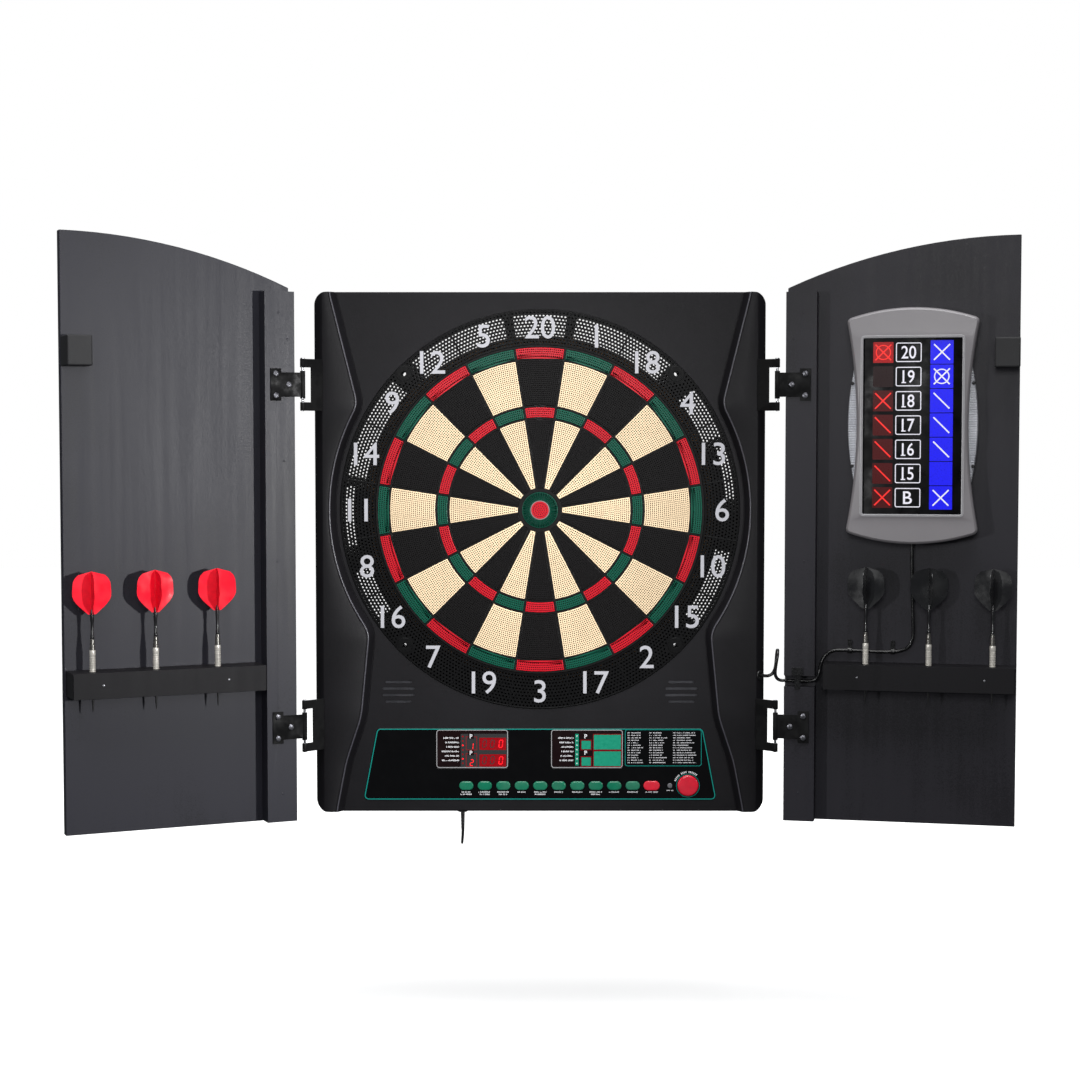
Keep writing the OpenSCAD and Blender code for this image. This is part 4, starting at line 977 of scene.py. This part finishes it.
def words(build, x0, x1, z, h, mat, centred=False, layer=INK):
    """A line of print too small to read, as short strokes between two ends."""
    if centred:
        half = (x1 - x0) / 2 * rng.uniform(0.6, 1.0)
        x0, x1 = (x0 + x1) / 2 - half, (x0 + x1) / 2 + half
    x = x0
    while x < x1 - 0.4:
        w = rng.uniform(0.55, 0.95)
        top = h if rng.random() < 0.8 else h * 0.6
        bar(build, x, min(x + w, x1), z, top, mat, layer)
        x += w + (0.35 if rng.random() < 0.85 else 1.3)


# The panel's print: its border, a boxed list, a caption under each button, and an arc over the start button
prints = Build()
frame_line(prints, trapezoid(-0.5), 1.15, TEAL)
frame_line(prints, rounded(103.7, 197.3, -313, -267.9, 3), 0.7, TEAL)
for x0, x1 in ((107, 127.5), (133.5, 157.5), (162.5, 193)):
    for row in range(13):
        z = -272.6 - row * 3.05
        words(prints, x0, x0 + 3, z, 1.15, WHITE_INK)
        words(prints, x0 + 4.5, x0 + 4.5 + (x1 - x0 - 4.5) * rng.uniform(0.5, 1.0), z, 1.15, WHITE_INK)
for k, x in enumerate(BUTTON_X + [POWER_X]):
    words(prints, x - 8, x + 8, -345.6, 1.7, WHITE_INK, True)
    if k in (0, 1, 2, 4, 7):  # captions of two lines
        words(prints, x - 7, x + 7, -348.4, 1.7, WHITE_INK, True)
words(prints, RESET_X - 4.5, RESET_X + 4.5, -343.5, 1.3, WHITE_INK, True)
for k in range(17):
    if k not in (5, 10):  # the gaps between words
        stroke = turned_loop(box(15.6, 17.8, -0.55, 0.55), math.radians(158 - 6.6 * k), START_X, BUTTON_Z)
        prints.slab(stroke, *INK, WHITE_INK)
frame_line(prints, circle(14.4, 48, START_X, BUTTON_Z), 0.5, TEAL)
prints.piece("control_panel_print", ["teal", "white_print"], "housing", "overlay_gloss")

# Displays: a smoked window over lamps, with a printed frame
DARK, GLOW, DIM, FRAME, WHITE, GREEN, TRIM = range(7)
DISPLAY_MATS = ["display", "led_red", "display_red", "grey_print", "white_print", "display_green", "dark"]
WINDOW_Y, LAMP_Y = -38.28, -38.3
STROKES = {  # the strokes of a lit figure in a box 1 wide and 2 high
    "a": ((0.15, 1.9), (0.85, 1.9)), "b": ((0.92, 1.8), (0.92, 1.1)), "c": ((0.92, 0.9), (0.92, 0.2)),
    "d": ((0.15, 0.1), (0.85, 0.1)), "e": ((0.08, 0.9), (0.08, 0.2)), "f": ((0.08, 1.8), (0.08, 1.1)),
    "g": ((0.15, 1), (0.85, 1)),
}
FIGURES = {"0": "abcdef", "1": "bc", "2": "abged"}
STROKE_W, LEAN = 0.11, 0.12


def figure(build, digit, x, z, h, mat, front):
    """A seven-stroke lit figure, leaning a little."""
    k = h / 2
    for key in FIGURES[digit]:
        (xa, za), (xb, zb) = STROKES[key]
        if key in "adg":
            loop = box(xa, xb, za - STROKE_W, za + STROKE_W)
        else:
            loop = box(xa - STROKE_W, xa + STROKE_W, zb, za)
        build.slab([(x + (px + LEAN * pz) * k, z + pz * k) for px, pz in loop], -38.35, front, mat)


def lamp(build, x, z, r, n, front, mat):
    build.slab(circle(r, n, x, z), LAMP_Y, front, mat)


def red_display(d, x0, top, low):
    """Round lamps down the left, then a player's figure and three score figures in each half."""
    bar(d, x0 + 30, x0 + 87.2, DISPLAY_Z + 1.6, 40.6, TRIM, (WINDOW_Y, -38.33))
    for row in range(7):
        lamp(d, x0 + 32.6, DISPLAY_Z + 6 + row * 5.5, 1.05, 12, -38.42, GLOW if row in (1, 4) else DIM)
    for z, player in ((top, "1"), (low, "2")):
        frame_line(d, box(x0 + 36.4, x0 + 50, z - 2.4, z + 14.2), 0.6, DIM, (LAMP_Y, -38.4))
        bar(d, x0 + 53, x0 + 85.4, z - 2.2, 15.0, DIM, (LAMP_Y, -38.38))
        for k in range(2):
            figure(d, "0", x0 + 56 + 9.6 * k, z + 0.6, 10, TRIM, -38.42)
        figure(d, "0", x0 + 76, z + 0.4, 10, GLOW, -38.46)
        figure(d, player, x0 + 41, z - 1.4, 8, GLOW, -38.46)


def green_display(d, x0, top, low):
    """A strip of round lamps, then a small and a large lit field in each half."""
    for row in range(7):
        bar(d, x0 + 29.8, x0 + 34.0, DISPLAY_Z + 3.4 + row * 5.6, 5.0, GREEN, (LAMP_Y, -38.4))
        lamp(d, x0 + 31.9, DISPLAY_Z + 5.9 + row * 5.6, 0.8, 10, -38.46, WHITE)
    for z in (top, low):
        frame_line(d, box(x0 + 36.4, x0 + 50, z - 2.4, z + 10.2), 0.6, DIM, (LAMP_Y, -38.45))
        bar(d, x0 + 37.6, x0 + 48.8, z - 1.2, 10.2, GREEN, (LAMP_Y, -38.4))
        frame_line(d, box(x0 + 51.6, x0 + 86.6, z - 2.6, z + 17.4), 0.6, DIM, (LAMP_Y, -38.45))
        bar(d, x0 + 52.6, x0 + 85.6, z - 1.6, 18.0, GREEN, (LAMP_Y, -38.4))


for name, x0, lamps, replaced in (("left", DISPLAY_X[0], red_display, ["led_displays"]),
                                  ("right", DISPLAY_X[1], green_display, [])):
    d = Build()
    x1, z1 = x0 + DISPLAY_W, DISPLAY_Z + DISPLAY_H
    d.plate(rounded(x0, x1, DISPLAY_Z, z1, 2.2), profile=((0, -31), (0, -38.1), (0.2, -38.3)), mat=DARK)
    frame_line(d, rounded(x0 + 0.4, x1 - 0.4, DISPLAY_Z + 0.4, z1 - 0.4, 3.5), 0.9, FRAME, (WINDOW_Y, -38.5))
    for row in range(6):
        words(d, x0 + (28 - rng.uniform(15, 22)), x0 + 28, DISPLAY_Z + 36.2 - row * 5.5, 1.9, WHITE,
              layer=(WINDOW_Y, -38.45))
    top, low = DISPLAY_Z + 24.6, DISPLAY_Z + 4.2
    lamps(d, x0, top, low)
    for z in (top + 14.6, low + 14.8):
        bar(d, x0 + 39.2, x0 + 46.2, z - 3.2, 6.4, DARK, (LAMP_Y, -38.44))
        d.text("P", x0 + 42.7, z, 5.2, -38.4, -38.52, bold=0.03, mat=WHITE)
    d.piece("display_" + name, DISPLAY_MATS, "housing", "display_dark", replaced)

# ---- Buttons: a domed cap, a flange behind the face and a plunger ----

PROUD = 1.8


def button(body, x, loop_of, mat, dome=0.9):
    b = Build()
    front = OVERLAY_Y - PROUD
    profile = [(0, -34.9), (0, front + dome)]
    profile += [(dome * 1.5 * (1 - math.cos(t)), front + dome * (1 - math.sin(t)))
                for t in np.linspace(0.25, math.pi / 2, 6)]
    b.plate(loop_of(0), profile=profile)
    b.slab(loop_of(1.2), -33.4, -34.9)
    b.spun([(0, 32.2), (2.0, 32.2), (2.0, 33.4), (0, 33.4)], 16, (x, 0, BUTTON_Z), "Y")
    b.piece(body + "_cap", [mat], body, mat, [body], sharp=50)


for k, x in enumerate(BUTTON_X):
    button(f"game_button_{k + 1}", x, lambda grow, x=x: game_cap(x, grow), "button_green")
button("power_button", POWER_X, power_cap, "button_red")
button("reset_button", RESET_X, lambda grow: circle(RESET_R + grow, 32, RESET_X, BUTTON_Z), "button_grey", 0.6)
button("start_button", START_X, lambda grow: circle(START_R + grow, 64, START_X, BUTTON_Z), "button_red", 1.5)

# ---- Darts ----

BARREL_Z, STEM_Z, FLIGHT_Z, DART_Y = -209.0, -144.0, -115.7, -0.5
DART_X = {1: 107.0, 2: 181.0, 3: 255.0}
TURN = {("left", 1): 8, ("left", 2): -6, ("left", 3): 4, ("right", 1): -7, ("right", 2): 12, ("right", 3): -10}
WING_R, WING_H, WING_HALF_T = 22.3, 49.7, 0.16
WING_ROWS, WING_COLUMNS = 12, 9
WING_EDGE = [(0, 4.4), (9, 14.3), (14.5, 19.5), (20, 22.0), (23, WING_R), (32, 21.9), (38.5, 21.0), (43, 18.5),
             (WING_H, 10.0)]  # a wing's reach at each height


def wing(d, x, turn, number):
    """One wing of a flight: a thin sheet, bowed and faintly creased, whose top edge runs in to the middle."""
    c, s = math.cos(turn), math.sin(turn)
    last, n = WING_COLUMNS - 1, WING_COLUMNS
    verts = []
    for half in (-WING_HALF_T, WING_HALF_T):
        for i in range(WING_ROWS + 1):
            h = WING_H * i / WING_ROWS
            reach = float(np.interp(h, *zip(*WING_EDGE))) if i < WING_ROWS else 0.0
            for j in range(n):
                r = 0.5 + (reach - 0.5) * j / last
                bow = 0.55 * math.sin(math.pi * min(1, r / WING_R)) * math.sin(math.pi * h / 50)
                w = (bow if number % 2 else -bow) + 0.28 * math.sin(h * 0.35 + number) * (r / WING_R) ** 2 + half
                verts.append((x + r * c - w * s, DART_Y + r * s + w * c, FLIGHT_Z + h))
    m = (WING_ROWS + 1) * n
    faces = []
    for f in grid_faces(WING_ROWS + 1, n):
        faces += [f, tuple(m + i for i in (f[0], f[3], f[2], f[1]))]
    rim = [*range(n), *[i * n + last for i in range(1, WING_ROWS + 1)],
           *[WING_ROWS * n + j for j in range(last - 1, -1, -1)], *[i * n for i in range(WING_ROWS - 1, 0, -1)]]
    faces += [(q, p, m + p, m + q) for p, q in zip(rim, rim[1:] + rim[:1])]
    d.add(verts, faces, 3)


def dart(side, k):
    d = Build()
    at = (DART_X[k], DART_Y, 0)

    def turned(profile, foot, n, mat):
        d.spun([(r, foot + h) for r, h in profile], n, at, "Z", mat)

    # A soft point with a collar
    turned([(0, -20), (0.45, -19.7), (0.8, -17), (1.25, -8), (1.45, -4), (1.75, -3.6), (1.7, -0.15), (0, -0.15)],
           BARREL_Z, 16, 0)
    # A nickel barrel, ringed for grip between plain ends, then its taper
    profile = [(0, 0), (2.6, 0), (3.1, 0.5), (3.3, 3), (3.45, 6)]
    for h in range(7, 44, 2):
        profile += [(3.6, h), (3.6, h + 0.9), (3.2, h + 1.15), (3.2, h + 1.75)]
    turned(profile + [(3.6, 46), (3.55, 51), (3.3, 52), (0, 52)], BARREL_Z, 28, 1)
    turned([(0, 52), (3.15, 52), (3.1, 53.5), (2.9, 57), (2.5, 62), (2.3, 64.8), (2.1, 65), (0, 65)], BARREL_Z, 28, 4)
    # A stem with a neck, which widens towards the top that holds the flight
    turned([(0, 0.15), (1.9, 0.15), (2.3, 0.8), (2.3, 3), (1.75, 4), (1.7, 15), (1.9, 19), (2.25, 22), (2.3, 28),
            (2.1, 30), (1.3, 33.9), (0, 34)], STEM_Z, 20, 2)
    for number in range(4):
        wing(d, at[0], math.radians(TURN[(side, k)]) + number * math.pi / 2, number)
    colour = "red" if side == "left" else "black"
    name = f"{side}_dart_{k}"
    d.piece(name + "_turned", ["tip", "nickel", "stem", "flight_" + colour, "taper"], name, "dart_" + colour, [name],
            DOOR[side], sharp=32)


for side in TILT:
    for k in DART_X:
        dart(side, k)

# ---- Scorer ----


def radius_of(chord, sag):
    return (chord ** 2 / 4 + sag ** 2) / (2 * sag)


S_X, S_FOOT, S_TOP = 159.5, -38.0, 241.0
S_HALF, S_WAIST, SAG, S_CORNER = 77.5, 65.0, 13.5, 6
END_R = radius_of(2 * S_HALF, SAG)
WAIST_R = radius_of(S_TOP - S_FOOT - 2 * SAG, S_HALF - S_WAIST)


def scorer_loop():
    """The hourglass outline: bowed ends, sides drawn in to a waist, and eased corners."""
    a_end = math.asin((S_HALF - S_CORNER) / END_R)
    foot = [(END_R * math.sin(a), S_FOOT + END_R - END_R * math.cos(a)) for a in np.linspace(-a_end, a_end, 25)]
    top = [(END_R * math.sin(a), S_TOP - END_R + END_R * math.cos(a)) for a in np.linspace(a_end, -a_end, 25)]
    heights = np.linspace(S_FOOT + SAG + S_CORNER, S_TOP - SAG - S_CORNER, 31)
    side = [(S_WAIST + WAIST_R - math.sqrt(WAIST_R ** 2 - (z - (S_TOP + S_FOOT) / 2) ** 2), z) for z in heights]
    other = [(-x, z) for x, z in reversed(side)]

    def corner(p, q, c):
        return [tuple((1 - t) ** 2 * p[i] + 2 * t * (1 - t) * c[i] + t * t * q[i] for i in (0, 1))
                for t in np.linspace(0, 1, 8)[1:-1]]

    loop = [*foot, *corner(foot[-1], side[0], (S_HALF, S_FOOT + SAG)), *side,
            *corner(side[-1], top[0], (S_HALF, S_TOP - SAG)), *top,
            *corner(top[-1], other[0], (-S_HALF, S_TOP - SAG)), *other,
            *corner(other[-1], foot[0], (-S_HALF, S_FOOT + SAG))]
    return [(S_X + x, z) for x, z in loop]


def grown(x0, x1, z0, z1, d):
    return x0 - d, x1 + d, z0 - d, z1 + d


# Frame: rounded sides up to a face that rises to the window, and a bright lip down to the glass
WINDOW = (102.2, 216.9, -2.5, 204.8)
RIM_Y, LIP_Y = -9.4, -10.6
window = rounded(*WINDOW, 1.5, 3)
scorer = Build()
outline = scorer_loop()
scorer.plate(outline, profile=((0, 22.9), (0, -4.0), (0.4, -6.2), (1.4, -8.2), (3.0, RIM_Y)), open_front=True)
rim, lip = offset(outline, 3.0), offset(window, -3.2)
scorer.add([(x, RIM_Y, z) for x, z in rim] + [(x, LIP_Y, z) for x, z in lip[::-1]], filled([rim, lip[::-1]]))
scorer.plate(lip, [window], ((0, -8.5), (0, -10.7), (0.5, -11.0), (1.2, -11.0), (1.5, LIP_Y)), 1)
scorer.piece("scorer_frame_shell", ["silver", "silver_lip"], "right_door", "scorer_silver", ["scorer_frame"],
             DOOR["right"], sharp=40)

# Screen and its marks, in seven rows
screen = Build()
screen.plate(rounded(*grown(*WINDOW, 1.4), 1.0, 3), profile=((0, -6.0), (0, -7.9), (0.15, -8.0)))
RED, DIMMED, OFF, BLUE, MARK, MARK_RED = range(1, 7)
LIT = (-7.95, -8.06)
LEFT_BOX, MID_BOX, RIGHT_BOX = (113.7, 137.1), (140.0, 169.8), (180.0, 206.5)
MID_X = sum(MID_BOX) / 2
MARK_HALF, MARK_W, MARK_R = 9.2, 1.7, 9.0


def line(x0, z0, x1, z1, w, mat, front=-8.3):
    dx, dz = x1 - x0, z1 - z0
    n = math.hypot(dx, dz)
    ox, oz = -dz / n * w / 2, dx / n * w / 2
    screen.slab([(x0 - ox, z0 - oz), (x1 - ox, z1 - oz), (x1 + ox, z1 + oz), (x0 + ox, z0 + oz)], -8.1, front, mat)


def mark(kind, x0, x1, z, mat):
    x, h = (x0 + x1) / 2, MARK_HALF
    if kind:
        line(x - h, z + h, x + h, z - h, MARK_W, mat)
    if kind in ("cross", "closed"):
        line(x - h, z - h, x + h, z + h, MARK_W, mat, -8.28)
    if kind == "closed":
        screen.slab(circle(MARK_R, 32, x, z), -8.1, -8.26, mat, [circle(MARK_R - 1.4, 32, x, z)])


SCORES = [("20", "closed", "cross", RED), ("19", "", "closed", OFF), ("18", "cross", "slash", DIMMED),
          ("17", "slash", "slash", DIMMED), ("16", "slash", "slash", DIMMED), ("15", "slash", "", DIMMED),
          ("B", "cross", "cross", DIMMED)]
for k, (name, left_mark, right_mark, left_mat) in enumerate(SCORES):
    z = 188.0 - 28.5 * k
    screen.slab(rounded(*LEFT_BOX, z - 12.2, z + 12.2, 0.6, 2), *LIT, left_mat)
    mark(left_mark, *LEFT_BOX, z, MARK_RED)
    screen.slab(rounded(*RIGHT_BOX, z - 13.8, z + 13.8, 0.6, 2), *LIT, BLUE)
    mark(right_mark, *RIGHT_BOX, z, MARK)
    number_box = rounded(*MID_BOX, z - 11.4, z + 11.4, 2.2, 4)
    screen.slab(number_box, -7.95, -8.2, MARK, [offset(number_box, 1.1)])
    screen.text(name, MID_X, z, 15.0, -8.0, -8.25, bold=0.008, width=0.86 if len(name) > 1 else 1.0, mat=MARK)
    if name[0] == "1":  # a foot under the figure 1
        line(MID_X - 8.1, z - 7.0, MID_X - 2.9, z - 7.0, 1.3, MARK)
screen.piece("scorer_screen_glass",
             ["screen", "score_red", "score_dim", "score_off", "score_blue", "score_mark", "score_mark_red"],
             "right_door", "display_dark", ["scorer_screen"], DOOR["right"])

# Lens: ribbed half-clear sides past the frame's waist, with its four screws
LENS_HALF, LENS_Z0, LENS_Z1, LENS_MID = 76.2, 32.0, 174.0, 103.0
LENS_R, RIB_PITCH, RIB_DEEP = radius_of(142.0, 8.0), 2.84, 0.8
lens = Build()
for side in (-1, 1):
    verts = []
    heights = np.arange(LENS_Z0, LENS_Z1 + 0.01, RIB_PITCH / 4)
    for z in heights:
        x = LENS_HALF - LENS_R + math.sqrt(LENS_R ** 2 - (z - LENS_MID) ** 2)
        ends = min(1.0, (z - LENS_Z0) / 1.2, (LENS_Z1 - z) / 1.2)
        rib = RIB_DEEP * abs(math.sin(math.pi * (z - LENS_Z0) / RIB_PITCH)) * ends
        front = 4.3 - rib * 0.5
        section = [(57, 19.8), (x - 0.8, 19.8), (x, 18.8), (x + rib * 0.5 - 0.4, 8.2), (x - 1.2, 5.0 - rib),
                   (x - 3, front), (57, front)]
        verts += [(S_X + side * x, y, z) for x, y in section]
    faces = tube_faces(len(heights), 7)
    lens.add(verts, faces if side > 0 else [f[::-1] for f in faces])
for z in (LENS_MID - 49, LENS_MID + 49):
    for x in (S_X - 70.5, S_X + 70.5):
        lens.spun([(0, -4.6), (2.1, -4.6), (2.1, -3.0), (1.5, -2.5), (0, -2.4)], 14, (x, 0, z), "Y", 1)
lens.piece("scorer_lens_ribbed", ["lens", "dark"], "right_door", "scorer_clear", ["scorer_lens"], DOOR["right"],
           sharp=30)

# ---- Screw and nail heads on the doors ----

HINGE_Z = (151.0, -260.0)
LEAF_SCREWS = ((33.5, 13), (33.5, -13), (17.5, 0))
PAINTED_NAILS = ((30, 236), (24, 60), (33, -60), (28, -340), (19, 205))
RACK_NAIL_X, RACK_Y, RACK_NAIL_Z = (98, 246), -17, -197
for side in TILT:
    heads = Build()
    for x, z in [(x, hinge_z + z) for hinge_z in HINGE_Z for x, z in LEAF_SCREWS]:
        turn = rng.uniform(0, math.pi)
        heads.spun([(0, -14), (0.4, -13), (1.6, -10), (1.7, 1.6), (3.4, 1.62), (3.5, 1.9), (3.1, 2.45), (2.0, 2.8),
                    (0, 2.9)], 24, (x, 0, z), "Y")
        # The slot is not cut into the head: a flat dark cross, sitting on its domed face, is painted shade where the
        # slot would be.
        for quarter in (0, math.pi / 2):
            heads.slab(turned_loop(box(-1.9, 1.9, -0.3, 0.3), turn + quarter, x, z), -2.3, -2.93, 1)
    heads.piece(side + "_leaf_screw_heads", ["leaf_screw", "dark"], side + "_door", "screw_steel",
                [side + "_leaf_screws"], DOOR[side])
    nails = Build()
    for x, z in PAINTED_NAILS:
        nails.spun([(0, -0.6), (1.5, -0.6), (1.5, 0.05), (0.9, 0.2), (0, 0.22)], 14, (x, 0, z), "Y")
    for x in RACK_NAIL_X:
        nails.spun([(0, -0.6), (1.4, -0.6), (1.4, 0.05), (0.8, 0.2), (0, 0.22)], 14, (x, RACK_Y, RACK_NAIL_Z), "Y", 1)
    nails.piece(side + "_nail_heads", ["door_" + side, "steel"], side + "_door", "rack_black", matrix=DOOR[side])

# ---- Finishes of the CAD nodes that stay, with how far their edges are eased ----

FINISH = {
    "back_cover": ("cover", 0.6), "target_spider": ("spider", 0.35), "sensor_membrane": ("membrane", 0),
    "backing_plate": ("hardboard", 0), "circuit_board": ("board", 0), "speakers": ("speaker", 0),
    "housing_screws": ("steel", 0), "hinge_brackets": ("hinge", 0.3), "hinge_pins": ("pin", 0),
    "cable_clips": ("cable", 0.3), "scorer_board": ("board", 0),
}
for side in TILT:
    paint = "door_" + side
    for part, finish in (("_door_panel", (paint, 0.8)), ("_batten", (paint, 0.9)), ("_dart_rack", ("rack", 0.9)),
                         ("_catch_block", ("catch", 1.6)), ("_hinge_leaves", ("hinge", 0.25))):
        FINISH[side + part] = finish
for name, (finish, ease) in FINISH.items():
    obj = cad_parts[name]
    obj.data.materials.clear()
    obj.data.materials.append(MAT[finish])
    if ease:
        obj.modifiers.new("weld", "WELD").merge_threshold = 1e-6
        soft = obj.modifiers.new("eased_edges", "BEVEL")
        soft.width, soft.segments, soft.limit_method, soft.angle_limit = ease * MM, 2, "ANGLE", math.radians(40)
        soft.use_clamp_overlap = True

# ---- Studio ----

FLOOR_Z, FLOOR_HALF = -0.64, 9.0
floor_mesh = bpy.data.meshes.new("floor")
floor_mesh.from_pydata([(x, y, FLOOR_Z) for x, y in box(-FLOOR_HALF, FLOOR_HALF, -FLOOR_HALF, FLOOR_HALF)], [],
                       [(0, 1, 2, 3)])
paper = Nodes("studio_floor")
paper.fill(paper.shader, [("Base Color", paper.ramp(paper.noise(2, 3), (0.3, (0.9,) * 3), (0.7, (0.93,) * 3))),
                          ("Roughness", 0.8)])
floor_mesh.materials.append(paper.material)
floor = linked(bpy.data.objects.new("floor", floor_mesh))
floor.visible_glossy = floor.visible_diffuse = False  # its brightness would lift every dark face to grey

# World: dim light all round, dimmer still in reflections, and plain white where the camera sees past the object
world = bpy.data.worlds.new("studio")
world.use_nodes = True
nodes, links = world.node_tree.nodes, world.node_tree.links
shade, gloss, seen = nodes["Background"], nodes.new("ShaderNodeBackground"), nodes.new("ShaderNodeBackground")
for node, colour, strength in ((shade, (0.96, 0.98, 1.0, 1), 0.2), (gloss, (0.9, 0.95, 1.0, 1), 0.1),
                               (seen, (1, 1, 1, 1), 1.0)):
    node.inputs["Color"].default_value, node.inputs["Strength"].default_value = colour, strength
rays = nodes.new("ShaderNodeLightPath")
surface = shade.outputs["Background"]
for ray, other in (("Is Glossy Ray", gloss), ("Is Camera Ray", seen)):
    mix = nodes.new("ShaderNodeMixShader")
    links.new(rays.outputs[ray], mix.inputs["Fac"])
    links.new(surface, mix.inputs[1])
    links.new(other.outputs["Background"], mix.inputs[2])
    surface = mix.outputs["Shader"]
links.new(surface, nodes["World Output"].inputs["Surface"])
bpy.context.scene.world = world


def light(name, kind, power, at=(0, 0, 0), aim=None, **settings):
    """A lamp at a place in metres, turned to a point if one is given."""
    data = bpy.data.lights.new(name, kind)
    data.energy = power
    for key, value in settings.items():
        setattr(data, key, value)
    obj = linked(bpy.data.objects.new(name, data))
    obj.location = at
    if aim is not None:
        obj.rotation_euler = (Vector(aim) - Vector(at)).to_track_quat("-Z", "Y").to_euler()
    return obj


light("key_front", "AREA", 12, (0.0, -2.3, 0.5), (0, 0, 0), shape="RECTANGLE", size=0.7, size_y=0.5)
for side, name, power in ((-1, "cross_left", 60), (1, "cross_right", 165)):
    # Each lights the door across from it, and throws its darts' shadows outward
    light(name, "SPOT", power, (side * 1.4, -1.9, 0.1), (side * -0.42, -0.1, -0.03), shadow_soft_size=0.045,
          spot_size=math.radians(32), spot_blend=0.8)
light("top_soft", "AREA", 14, (0.0, -0.9, 2.1), (0, 0, 0), shape="RECTANGLE", size=2.6, size_y=1.2)
light("rear_soft", "AREA", 40, (0.0, 2.4, 1.2), (0, 0, 0), shape="RECTANGLE", size=2.4, size_y=1.4)
light("sky_sun", "SUN", 3.3, angle=math.radians(50)).rotation_euler = (math.radians(13), 0, 0)

view = bpy.context.scene.view_settings
view.view_transform, view.look, view.exposure, view.gamma = "Standard", "None", 0.0, 1.0
